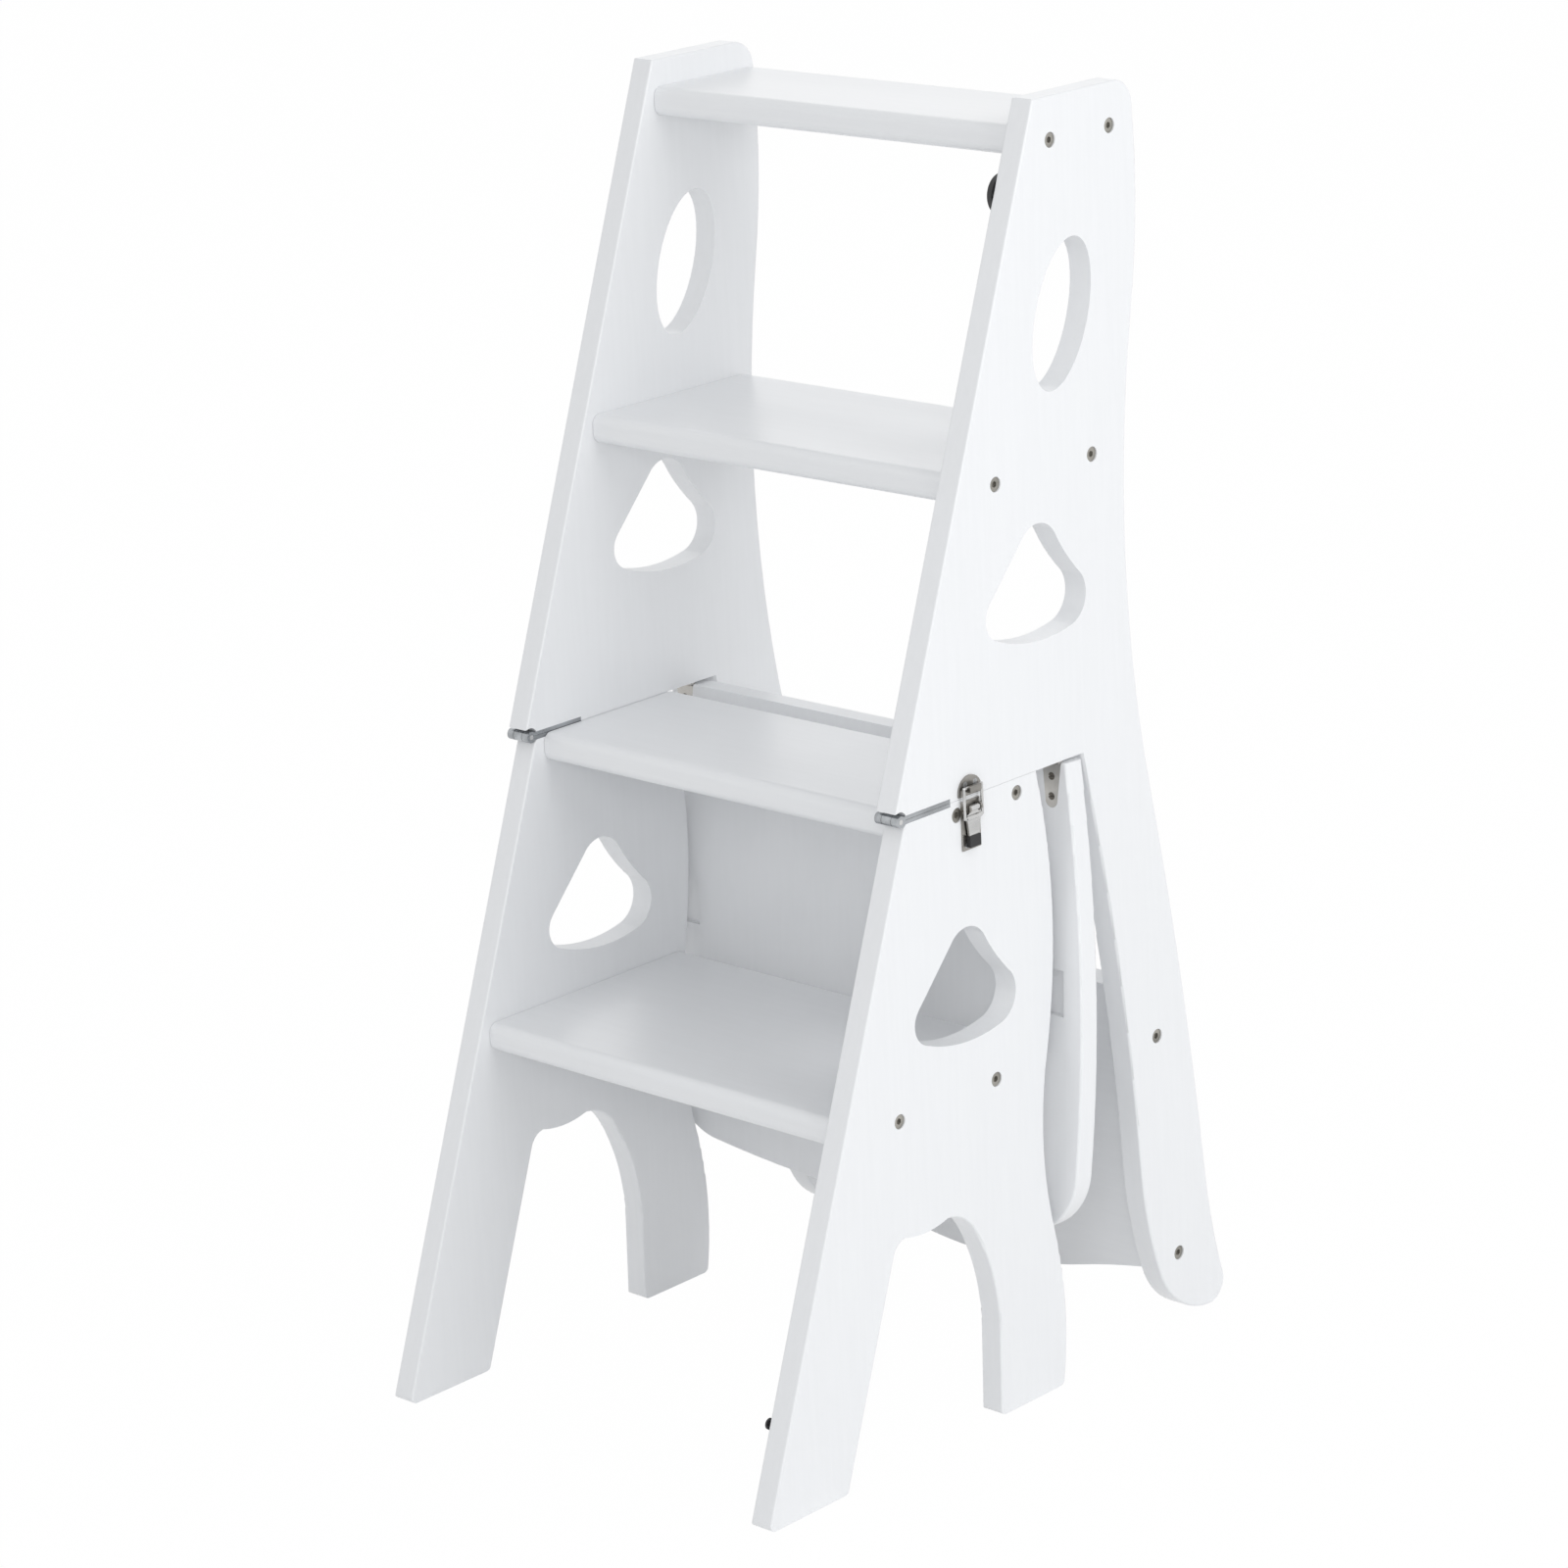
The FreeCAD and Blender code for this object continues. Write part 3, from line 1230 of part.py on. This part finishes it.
# Catch
def catch_hook():
    """Round plate on a screw; its arm lies back and has a notch on its leading side for the knob's neck."""
    angle = math.radians(S.catch_tilt.value)
    tilt_sin = Dim("sin(sizes.catch_tilt * 1 deg)", math.sin(angle))
    tilt_cos = Dim("cos(sizes.catch_tilt * 1 deg)", math.cos(angle))

    def in_line(distance, across):
        return (catch_y + tilt_sin * distance - tilt_cos * across,
                catch_z + tilt_cos * distance + tilt_sin * across)

    notch = S.knob_neck + S.catch_play
    reach = S.catch_length
    wide = S.catch_half
    corners = [
        in_line(NOTHING, -wide),
        in_line(reach, -wide) + (S.catch_end,),
        in_line(reach, wide),
        in_line(NOTHING, wide),
    ]
    arm, sketch = new_body("catch_arm", "YZ_Plane", lambda target: outline(target, corners))
    pad(arm, sketch, S.catch_thickness)
    bind(arm, "Placement.Base.x", catch_back)
    doc.recompute()
    disc = rod("catch_plate", S.catch_disc, S.catch_thickness, catch_back, catch_y, catch_z, ALONG_X)
    knob_at = in_line(reach, NOTHING)
    eye = rod("catch_eye", notch, S.catch_thickness, catch_back, knob_at[0], knob_at[1], ALONG_X)
    mouth_corners = [
        in_line(reach - notch, NOTHING), in_line(reach + notch, NOTHING),
        in_line(reach + notch, wide * 2), in_line(reach - notch - S.catch_flare, wide * 2),
    ]
    mouth, mouth_sketch = new_body("catch_mouth", "YZ_Plane", lambda target: outline(target, mouth_corners))
    pad(mouth, mouth_sketch, S.catch_thickness)
    bind(mouth, "Placement.Base.x", catch_back)
    doc.recompute()
    pivot = rod("catch_pivot_bore", S.catch_screw_radius + S.pin_clearance, S.catch_thickness,
                catch_back, catch_y, catch_z, ALONG_X)
    return cut("catch_hook", fuse("catch_blank", [arm, disc]), [eye, mouth, pivot])


def headed_pin(name, neck, head, face, y, z):
    """Pin set in the right inner face: neck through the hook's thickness and a flat head behind it."""
    back = face - S.catch_thickness - S.catch_play * 2
    stem = rod(name + "_neck", neck, S.catch_screw_length + S.catch_thickness + S.catch_play * 2,
               back, y, z, ALONG_X)
    cap = rod(name + "_head", head, S.catch_head_height, back - S.catch_head_height, y, z, ALONG_X)
    return fuse(name, [stem, cap])


node(catch_hook())
node(headed_pin("catch_screw", S.catch_screw_radius, S.catch_screw_head, inner, catch_y, catch_z))
node(headed_pin("catch_knob", S.knob_neck, S.knob_head, inner, knob_y, knob_z))

doc.recompute()
for item in doc.Objects:
    if "Invalid" in item.State or "Error" in item.State:
        raise RuntimeError("%s failed: %s" % (item.Name, item.State))
for piece in NODES:
    if piece.Shape.isNull() or not piece.Shape.isValid():
        raise RuntimeError("%s has no valid shape" % piece.Label)
os.makedirs("parts", exist_ok=True)
for piece in NODES:
    piece.Shape.exportStep("parts/%s.step" % piece.Label)
    bounds = piece.Shape.BoundBox
    print("%-26s %3d solids %10.1f mm3  y %7.1f %7.1f  z %6.1f %6.1f" % (
        piece.Label, len(piece.Shape.Solids), piece.Shape.Volume,
        bounds.YMin, bounds.YMax, bounds.ZMin, bounds.ZMax))
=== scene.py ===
import bmesh
import bpy
from bpy.props import FloatProperty, FloatVectorProperty, PointerProperty
from mathutils import Matrix, Vector

bl_info = {
    "name": "Four-step ladder",
    "version": (1, 0, 0),
    "blender": (4, 5, 0),
    "location": "View3D > Sidebar > Ladder",
    "description": "Finishes of a white folding four-step ladder, its metal fittings and its studio",
    "category": "Object",
}

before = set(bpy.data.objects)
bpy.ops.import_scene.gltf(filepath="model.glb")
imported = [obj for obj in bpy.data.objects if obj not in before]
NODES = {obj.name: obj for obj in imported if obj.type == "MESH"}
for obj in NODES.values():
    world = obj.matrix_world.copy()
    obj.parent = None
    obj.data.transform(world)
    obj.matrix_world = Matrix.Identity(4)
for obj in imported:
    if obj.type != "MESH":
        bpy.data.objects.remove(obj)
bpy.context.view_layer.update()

SIDE_BOARDS = ("lower_right_side", "lower_left_side", "upper_right_side", "upper_left_side")
TREADS = ("top_tread", "second_tread", "third_tread", "bottom_tread")
TREAD_BOLTS = ("lower_tread_bolts", "upper_tread_bolts", "panel_bolts")
BARREL_NUTS = ("lower_barrel_nuts", "upper_barrel_nuts", "panel_barrel_nuts")
FOLD_HINGES = ("fold_hinge_lower_leaves", "fold_hinge_upper_leaves")
SEAT_HINGES = ("seat_hinge_frame_leaves", "seat_hinge_seat_leaves")
HINGE_PINS = ("fold_hinge_pins", "seat_hinge_pins")
FOLD_SCREWS = ("fold_hinge_lower_screws", "fold_hinge_upper_screws")
SEAT_SCREWS = ("seat_hinge_frame_screws", "seat_hinge_seat_screws")
LATCH_BRIGHT = ("latch_lever", "latch_bail", "latch_pin")
LATCH_DIM = ("latch_base", "latch_keeper")
LATCH_SCREWS = ("latch_base_screws", "latch_keeper_screws")
CATCH = ("catch_hook", "catch_knob", "catch_screw")

# Surfaces. Lengths are in metres.
GRAIN_STRETCH = 0.06  # scale of the grain along the board, against 1 across it
PAINT_ROUGHNESS = (0.27, 0.36)  # from the smoothest patches to the dullest
PAINT_SPECULAR = 0.55
PAINT_BUMP = 0.35
METAL_STRETCH = (1.0, 0.35, 1.0)  # smears and scratches run along y
METAL_SMEAR = 0.12  # roughness that smears add to metal
METAL_SCRATCH = 0.00003
LACQUER_SMEAR = 0.15  # roughness that smears add to lacquer
LACQUER_SCRATCH = 0.00004
LACQUER_FADE = 2.2  # smeared lacquer is this many times paler
SCRATCH_BUMP = 0.3
# A Mix node's colour sockets have the same names as its other ones, so they go by number.
MIX_FIRST, MIX_SECOND, MIX_RESULT = 6, 7, 2

# Studio
WHITE = (1.0, 1.0, 1.0, 1.0)
FLOOR_COLOUR = (0.95, 0.95, 0.95, 1.0)
FLOOR_DROP = 0.0005  # the floor lies this far below the feet
FLOOR_SHARE = 0.99  # share of plain white in the floor as it is seen
AMBIENT_COLOUR = (0.98, 0.99, 1.0, 1.0)
LAMP_AIM = Vector((0, 0, 0.45))  # middle of the ladder
SENSOR_WIDTH = 36
CAMERA_REACH = 100
CAMERA_RIGHT = Vector((0.73449, 0.67708, -0.04538))
CAMERA_UP = Vector((-0.16711, 0.24527, 0.95493))
CAMERA_BACK = Vector((0.6577, -0.69382, 0.29329))


class LadderFinish(bpy.types.PropertyGroup):
    """Colours and surface values of the ladder's pieces."""

    paint: FloatVectorProperty(
        name="Paint", description="Satin white on boards, treads and panels",
        subtype="COLOR", size=3, min=0, max=1, default=(0.865, 0.875, 0.89))
    paint_shade: FloatVectorProperty(
        name="Paint shade", description="Slightly deeper white where the grain shows through",
        subtype="COLOR", size=3, min=0, max=1, default=(0.84, 0.85, 0.865))
    paint_relief: FloatProperty(
        name="Grain relief", description="Height of the grain that stands under the paint",
        subtype="DISTANCE", unit="LENGTH", min=0, default=0.00006)
    bronze: FloatVectorProperty(
        name="Bolt bronze", description="Browned finish of the sunk connector bolts",
        subtype="COLOR", size=3, min=0, max=1, default=(0.43, 0.415, 0.38))
    nickel: FloatVectorProperty(
        name="Nickel", description="Bright plating of the hinge pins and the latch's lever and loop",
        subtype="COLOR", size=3, min=0, max=1, default=(0.66, 0.66, 0.655))
    # Dim nickel is a darker copy of the nickel colour, used on the latch's base and keeper.
    dim_nickel: FloatVectorProperty(
        name="Dim nickel", description="Darker plating of the latch's base and keeper",
        subtype="COLOR", size=3, min=0, max=1, default=(0.40, 0.385, 0.36))
    # Shaded dull nickel: the warm tone is the seat hinges' own, and the value is kept darker than
    # the nickel as painted shade for the shadow the hinges sit in.
    shaded_dull_nickel: FloatVectorProperty(
        name="Dull nickel", description="Warmer plating of the seat hinges",
        subtype="COLOR", size=3, min=0, max=1, default=(0.53, 0.515, 0.49))
    blued_steel: FloatVectorProperty(
        name="Blued steel", description="Cool grey plating of the fold hinges",
        subtype="COLOR", size=3, min=0, max=1, default=(0.47, 0.49, 0.51))
    dark_steel: FloatVectorProperty(
        name="Dark steel", description="Dark screws of the seat hinges",
        subtype="COLOR", size=3, min=0, max=1, default=(0.17, 0.155, 0.135))
    zinc: FloatVectorProperty(
        name="Zinc", description="Plating of the other screws and the barrel nuts",
        subtype="COLOR", size=3, min=0, max=1, default=(0.55, 0.56, 0.57))
    black: FloatVectorProperty(
        name="Black", description="Lacquer of the catch and sleeve of the latch lever",
        subtype="COLOR", size=3, min=0, max=1, default=(0.012, 0.012, 0.013))


class LadderStudio(bpy.types.PropertyGroup):
    """Camera, floor and light around the ladder."""

    lens: FloatProperty(
        name="Lens", description="Focal length on a 36 mm wide frame",
        subtype="DISTANCE_CAMERA", unit="CAMERA", min=10, default=117.711)
    camera_place: FloatVectorProperty(
        name="Camera place", description="Where the camera stands",
        subtype="TRANSLATION", unit="LENGTH", size=3, default=(2.31857, -2.44965, 1.45728))
    floor_size: FloatProperty(
        name="Floor size", description="Side of the square floor",
        subtype="DISTANCE", unit="LENGTH", min=1, default=24)
    ambient: FloatProperty(
        name="Ambient", description="Even light from all around",
        min=0, default=0.63)
    front: FloatProperty(
        name="Front light", description="Soft light beside the camera",
        subtype="POWER", unit="POWER", min=0, default=27)
    side: FloatProperty(
        name="Side light", description="Large soft light high on the ladder's right side",
        subtype="POWER", unit="POWER", min=0, default=30)
    top: FloatProperty(
        name="Top light", description="Large soft light over the treads",
        subtype="POWER", unit="POWER", min=0, default=4)
    back: FloatProperty(
        name="Back light", description="Large soft light behind the ladder",
        subtype="POWER", unit="POWER", min=0, default=7)


def finish():
    return bpy.context.scene.ladder_finish


def studio():
    return bpy.context.scene.ladder_studio


def new_group(name, inputs, outputs):
    """Shader node group with named sockets, and its input and output nodes."""
    group = bpy.data.node_groups.new(name, "ShaderNodeTree")
    for socket, kind, value in inputs:
        made = group.interface.new_socket(socket, in_out="INPUT", socket_type=kind)
        if value is not None:
            made.default_value = value
    for socket, kind in outputs:
        group.interface.new_socket(socket, in_out="OUTPUT", socket_type=kind)
    entry = group.nodes.new("NodeGroupInput")
    exit_node = group.nodes.new("NodeGroupOutput")
    return group, entry, exit_node


def add(tree, kind, **values):
    """Node of a kind with some of its properties set."""
    node = tree.nodes.new(kind)
    for name, value in values.items():
        setattr(node, name, value)
    return node


def mathed(tree, operation, first, second):
    """Math node fed by sockets or plain numbers."""
    node = add(tree, "ShaderNodeMath", operation=operation)
    for index, source in enumerate((first, second)):
        if isinstance(source, (int, float)):
            node.inputs[index].default_value = source
        else:
            tree.links.new(source, node.inputs[index])
    return node.outputs[0]


def weighed(tree, first, share, second):
    """Sum of two values, the first with its share and the second with the rest."""
    return mathed(tree, "ADD", mathed(tree, "MULTIPLY", first, share),
                  mathed(tree, "MULTIPLY", second, 1 - share))


def noise(tree, vector, scale, detail, roughness=0.5):
    """Noise whose scale comes from a socket."""
    node = add(tree, "ShaderNodeTexNoise")
    node.inputs["Detail"].default_value = detail
    node.inputs["Roughness"].default_value = roughness
    tree.links.new(vector, node.inputs["Vector"])
    tree.links.new(scale, node.inputs["Scale"])
    return node.outputs["Fac"]


def spread(tree, source, low, high, to_low=0.0, to_high=1.0):
    """Map Range node from one span of values to another."""
    node = add(tree, "ShaderNodeMapRange")
    tree.links.new(source, node.inputs["Value"])
    for name, value in (("From Min", low), ("From Max", high),
                        ("To Min", to_low), ("To Max", to_high)):
        node.inputs[name].default_value = value
    return node.outputs["Result"]


def grain_group():
    """Grain under paint: fine lines along the stretched direction and broad unevenness."""
    group, entry, leave = new_group(
        "grain_under_paint",
        [("Vector", "NodeSocketVector", None), ("Lines", "NodeSocketFloat", 260.0),
         ("Cloud", "NodeSocketFloat", 14.0)],
        [("Tone", "NodeSocketFloat"), ("Height", "NodeSocketFloat"), ("Sheen", "NodeSocketFloat")])
    vector = entry.outputs["Vector"]
    lines = noise(group, vector, entry.outputs["Lines"], detail=4.0, roughness=0.62)
    cloud = noise(group, vector, entry.outputs["Cloud"], detail=3.0)
    ridges = spread(group, lines, low=0.36, high=0.66)
    patches = spread(group, cloud, low=0.3, high=0.7)
    group.links.new(weighed(group, ridges, 0.55, patches), leave.inputs["Tone"])
    group.links.new(weighed(group, ridges, 0.7, patches), leave.inputs["Height"])
    group.links.new(patches, leave.inputs["Sheen"])
    return group


def handling_group():
    """Handling marks on metal and lacquer: soft smears and fine hair scratches."""
    group, entry, leave = new_group(
        "handling_marks",
        [("Vector", "NodeSocketVector", None), ("Smears", "NodeSocketFloat", 90.0),
         ("Hairs", "NodeSocketFloat", 900.0)],
        [("Smear", "NodeSocketFloat"), ("Scratch", "NodeSocketFloat")])
    vector = entry.outputs["Vector"]
    smears = noise(group, vector, entry.outputs["Smears"], detail=3.0)
    hairs = noise(group, vector, entry.outputs["Hairs"], detail=2.0, roughness=0.7)
    group.links.new(spread(group, smears, low=0.32, high=0.7), leave.inputs["Smear"])
    group.links.new(spread(group, hairs, low=0.55, high=0.75), leave.inputs["Scratch"])
    return group


def shared(name, make):
    """Node group made once and used by several materials."""
    return bpy.data.node_groups.get(name) or make()


def new_material(name):
    """Material, its tree, its surface node and the piece's own coordinates."""
    material = bpy.data.materials.new(name)
    material.use_nodes = True
    tree = material.node_tree
    surface = tree.nodes["Principled BSDF"]
    coordinates = add(tree, "ShaderNodeTexCoord")
    return material, tree, surface, coordinates.outputs["Object"]


def stretched(tree, vector, scale):
    """Coordinates scaled along each axis."""
    node = add(tree, "ShaderNodeMapping")
    node.inputs["Scale"].default_value = scale
    tree.links.new(vector, node.inputs["Vector"])
    return node.outputs["Vector"]


def blended(tree, factor, first, second):
    """Mix node between two colours."""
    node = add(tree, "ShaderNodeMix", data_type="RGBA")
    tree.links.new(factor, node.inputs["Factor"])
    node.inputs[MIX_FIRST].default_value = (*first, 1.0)
    node.inputs[MIX_SECOND].default_value = (*second, 1.0)
    return node.outputs[MIX_RESULT]


def bumped(tree, surface, height, distance, strength):
    """Bump on a surface from a height mask."""
    node = add(tree, "ShaderNodeBump")
    node.inputs["Strength"].default_value = strength
    node.inputs["Distance"].default_value = distance
    tree.links.new(height, node.inputs["Height"])
    tree.links.new(node.outputs["Normal"], surface.inputs["Normal"])


def satin_white(name, along):
    """Satin white paint with a faint grain along one axis of the board."""
    found = bpy.data.materials.get(name)
    if found:
        return found
    material, tree, surface, vector = new_material(name)
    scale = [1.0, 1.0, 1.0]
    scale["xyz".index(along)] = GRAIN_STRETCH
    grain = add(tree, "ShaderNodeGroup", node_tree=shared("grain_under_paint", grain_group))
    tree.links.new(stretched(tree, vector, scale), grain.inputs["Vector"])
    colour = blended(tree, grain.outputs["Tone"], finish().paint_shade, finish().paint)
    tree.links.new(colour, surface.inputs["Base Color"])
    roughness = spread(tree, grain.outputs["Sheen"], 0, 1, *PAINT_ROUGHNESS)
    tree.links.new(roughness, surface.inputs["Roughness"])
    surface.inputs["Specular IOR Level"].default_value = PAINT_SPECULAR
    bumped(tree, surface, grain.outputs["Height"], finish().paint_relief, PAINT_BUMP)
    return material


def plated(name, colour, dark, rough, metallic=1.0):
    """Plated or browned metal with smears and hair scratches."""
    found = bpy.data.materials.get(name)
    if found:
        return found
    material, tree, surface, vector = new_material(name)
    marks = add(tree, "ShaderNodeGroup", node_tree=shared("handling_marks", handling_group))
    tree.links.new(stretched(tree, vector, METAL_STRETCH), marks.inputs["Vector"])
    smear = marks.outputs["Smear"]
    tree.links.new(blended(tree, smear, colour, [c * dark for c in colour]),
                   surface.inputs["Base Color"])
    tree.links.new(spread(tree, smear, 0, 1, rough, rough + METAL_SMEAR),
                   surface.inputs["Roughness"])
    surface.inputs["Metallic"].default_value = metallic
    bumped(tree, surface, marks.outputs["Scratch"], METAL_SCRATCH, SCRATCH_BUMP)
    return material


def bright_nickel():
    return plated("bright_nickel", finish().nickel, dark=0.8, rough=0.16)


def zinc():
    return plated("zinc_screw", finish().zinc, dark=0.8, rough=0.32)


def lacquered(name, rough):
    """Black lacquer or rubber with faint handling marks."""
    found = bpy.data.materials.get(name)
    if found:
        return found
    material, tree, surface, vector = new_material(name)
    marks = add(tree, "ShaderNodeGroup", node_tree=shared("handling_marks", handling_group))
    tree.links.new(vector, marks.inputs["Vector"])
    smear = marks.outputs["Smear"]
    black = finish().black
    tree.links.new(blended(tree, smear, black, [c * LACQUER_FADE for c in black]),
                   surface.inputs["Base Color"])
    tree.links.new(spread(tree, smear, 0, 1, rough, rough + LACQUER_SMEAR),
                   surface.inputs["Roughness"])
    bumped(tree, surface, marks.outputs["Scratch"], LACQUER_SCRATCH, SCRATCH_BUMP)
    return material


def coat(names, material):
    """Give CAD nodes one material on all their faces."""
    for name in names:
        data = NODES[name].data
        if not data.materials:
            data.materials.append(material)
        for index in range(len(data.materials)):
            data.materials[index] = material


class LADDER_OT_side_boards(bpy.types.Operator):
    """Paint the four side boards"""

    bl_idname = "ladder.side_boards"
    bl_label = "Side boards"

    def execute(self, context):
        coat(SIDE_BOARDS, satin_white("board_white", "z"))
        return {"FINISHED"}


class LADDER_OT_treads(bpy.types.Operator):
    """Paint the four treads"""

    bl_idname = "ladder.treads"
    bl_label = "Treads"

    def execute(self, context):
        coat(TREADS, satin_white("tread_white", "x"))
        return {"FINISHED"}


class LADDER_OT_seat_and_back(bpy.types.Operator):
    """Paint the hanging seat panel and the backrest panel"""

    bl_idname = "ladder.seat_and_back"
    bl_label = "Seat and backrest"

    def execute(self, context):
        coat(("seat_panel",), satin_white("board_white", "z"))
        coat(("backrest_panel",), satin_white("tread_white", "x"))
        return {"FINISHED"}


class LADDER_OT_connector_bolts(bpy.types.Operator):
    """Finish the connector bolts and their barrel nuts"""

    bl_idname = "ladder.connector_bolts"
    bl_label = "Connector bolts"

    def execute(self, context):
        coat(TREAD_BOLTS, plated("browned_bolt", finish().bronze,
                                 dark=0.6, rough=0.38, metallic=0.85))
        coat(BARREL_NUTS, zinc())
        return {"FINISHED"}


class LADDER_OT_hinges(bpy.types.Operator):
    """Finish the fold hinges and the seat hinges"""

    bl_idname = "ladder.hinges"
    bl_label = "Hinges"

    def execute(self, context):
        coat(FOLD_HINGES, plated("blued_steel", finish().blued_steel, dark=0.6, rough=0.2))
        coat(HINGE_PINS, bright_nickel())
        # The seat hinges' colour is darkened as painted shade for the shadow they sit in; its warm
        # tone is their own.
        coat(SEAT_HINGES, plated("shaded_dull_nickel", finish().shaded_dull_nickel, dark=0.8, rough=0.34))
        coat(FOLD_SCREWS, zinc())
        coat(SEAT_SCREWS, plated("dark_screw", finish().dark_steel,
                                 dark=0.6, rough=0.4, metallic=0.85))
        return {"FINISHED"}


class LADDER_OT_latch(bpy.types.Operator):
    """Finish the lever latch and its keeper"""

    bl_idname = "ladder.latch"
    bl_label = "Latch"

    def execute(self, context):
        coat(LATCH_BRIGHT, bright_nickel())
        # The latch's base and keeper take the darker copy of the nickel colour.
        coat(LATCH_DIM, plated("dim_nickel", finish().dim_nickel, dark=0.65, rough=0.22))
        coat(LATCH_SCREWS, zinc())
        coat(("latch_grip",), lacquered("black_sleeve", rough=0.45))
        return {"FINISHED"}


class LADDER_OT_catch(bpy.types.Operator):
    """Finish the black hook, its screw and its knob"""

    bl_idname = "ladder.catch"
    bl_label = "Catch"

    def execute(self, context):
        coat(CATCH, lacquered("black_lacquer", rough=0.28))
        return {"FINISHED"}


def plainly_seen(tree):
    """Mask of the rays that show the white background: camera, mirror and glass rays."""
    rays = add(tree, "ShaderNodeLightPath").outputs
    mirrored = mathed(tree, "MAXIMUM", rays["Is Glossy Ray"], rays["Is Transmission Ray"])
    return mathed(tree, "MAXIMUM", rays["Is Camera Ray"], mirrored)


def mix_shaders(tree, share, first, second, output):
    """Show the second shader by its share and the first for the rest."""
    mix = add(tree, "ShaderNodeMixShader")
    tree.links.new(share, mix.inputs["Fac"])
    tree.links.new(first.outputs[0], mix.inputs[1])
    tree.links.new(second.outputs[0], mix.inputs[2])
    tree.links.new(mix.outputs[0], output.inputs["Surface"])


def floor_material():
    """Pale floor that is white to the camera and still takes a faint shadow."""
    material = bpy.data.materials.new("pale_floor")
    material.use_nodes = True
    tree = material.node_tree
    tree.nodes.clear()
    output = add(tree, "ShaderNodeOutputMaterial")
    matte = add(tree, "ShaderNodeBsdfDiffuse")
    matte.inputs["Color"].default_value = FLOOR_COLOUR
    glow = add(tree, "ShaderNodeEmission")
    glow.inputs["Color"].default_value = WHITE
    share = mathed(tree, "MULTIPLY", plainly_seen(tree), FLOOR_SHARE)
    mix_shaders(tree, share, matte, glow, output)
    return material


def lay_floor(scene):
    """Square floor just under the feet."""
    mesh = bpy.data.meshes.new("floor")
    shape = bmesh.new()
    bmesh.ops.create_grid(shape, x_segments=1, y_segments=1, size=studio().floor_size / 2)
    shape.to_mesh(mesh)
    shape.free()
    floor = bpy.data.objects.new("floor", mesh)
    floor.location.z = -FLOOR_DROP
    scene.collection.objects.link(floor)
    mesh.materials.append(floor_material())


def surround(scene):
    """World that lights evenly and looks white."""
    world = bpy.data.worlds.new("studio")
    scene.world = world
    world.use_nodes = True
    tree = world.node_tree
    tree.nodes.clear()
    output = add(tree, "ShaderNodeOutputWorld")
    around = add(tree, "ShaderNodeBackground")
    around.inputs["Color"].default_value = AMBIENT_COLOUR
    around.inputs["Strength"].default_value = studio().ambient
    white = add(tree, "ShaderNodeBackground")
    white.inputs["Color"].default_value = WHITE
    mix_shaders(tree, plainly_seen(tree), around, white, output)


def soft_lamp(name, place, size, power):
    """Round lamp that points at the middle of the ladder."""
    lamp = bpy.data.lights.new(name, "AREA")
    lamp.shape = "DISK"
    lamp.size = size
    lamp.energy = power
    holder = bpy.data.objects.new(name, lamp)
    bpy.context.scene.collection.objects.link(holder)
    holder.location = place
    holder.rotation_euler = (LAMP_AIM - Vector(place)).to_track_quat("-Z", "Y").to_euler()


def place_camera(scene):
    """Camera as it was solved from the photo."""
    data = bpy.data.cameras.new("camera")
    data.sensor_width = SENSOR_WIDTH
    data.sensor_fit = "HORIZONTAL"
    data.lens = studio().lens
    data.clip_end = CAMERA_REACH
    camera = bpy.data.objects.new("camera", data)
    turn = Matrix((CAMERA_RIGHT, CAMERA_UP, CAMERA_BACK)).transposed().to_4x4()
    camera.matrix_world = Matrix.Translation(Vector(studio().camera_place)) @ turn
    scene.collection.objects.link(camera)
    scene.camera = camera


class LADDER_OT_stage(bpy.types.Operator):
    """Set up the floor, the light and the camera"""

    bl_idname = "ladder.stage"
    bl_label = "Studio"

    def execute(self, context):
        scene = context.scene
        scene.view_settings.view_transform = "Standard"
        lay_floor(scene)
        surround(scene)
        soft_lamp("front_light", place=(2.6, -3.2, 2.0), size=1.6, power=studio().front)
        soft_lamp("side_light", place=(3.0, 0.2, 2.0), size=2.2, power=studio().side)
        soft_lamp("top_light", place=(1.3, -0.9, 3.3), size=2.0, power=studio().top)
        soft_lamp("back_light", place=(-2.4, 2.8, 2.4), size=2.4, power=studio().back)
        place_camera(scene)
        return {"FINISHED"}


class LADDER_PT_panel(bpy.types.Panel):
    """Finishes and studio of the ladder"""

    bl_idname = "LADDER_PT_panel"
    bl_label = "Four-step ladder"
    bl_space_type = "VIEW_3D"
    bl_region_type = "UI"
    bl_category = "Ladder"

    def draw(self, context):
        for group in (context.scene.ladder_finish, context.scene.ladder_studio):
            box = self.layout.box()
            for name in group.__annotations__:
                box.prop(group, name)
        for operator in OPERATORS:
            self.layout.operator(operator.bl_idname)


OPERATORS = (
    LADDER_OT_stage,
    LADDER_OT_side_boards,
    LADDER_OT_treads,
    LADDER_OT_seat_and_back,
    LADDER_OT_connector_bolts,
    LADDER_OT_hinges,
    LADDER_OT_latch,
    LADDER_OT_catch,
)
CLASSES = (LadderFinish, LadderStudio) + OPERATORS + (LADDER_PT_panel,)


def register():
    for item in CLASSES:
        bpy.utils.register_class(item)
    bpy.types.Scene.ladder_finish = PointerProperty(type=LadderFinish)
    bpy.types.Scene.ladder_studio = PointerProperty(type=LadderStudio)


def unregister():
    del bpy.types.Scene.ladder_studio
    del bpy.types.Scene.ladder_finish
    for item in reversed(CLASSES):
        bpy.utils.unregister_class(item)


def main():
    register()
    bpy.ops.ladder.stage()
    bpy.ops.ladder.side_boards()
    bpy.ops.ladder.treads()
    bpy.ops.ladder.seat_and_back()
    bpy.ops.ladder.connector_bolts()
    bpy.ops.ladder.hinges()
    bpy.ops.ladder.latch()
    bpy.ops.ladder.catch()


if __name__ == "__main__":
    main()
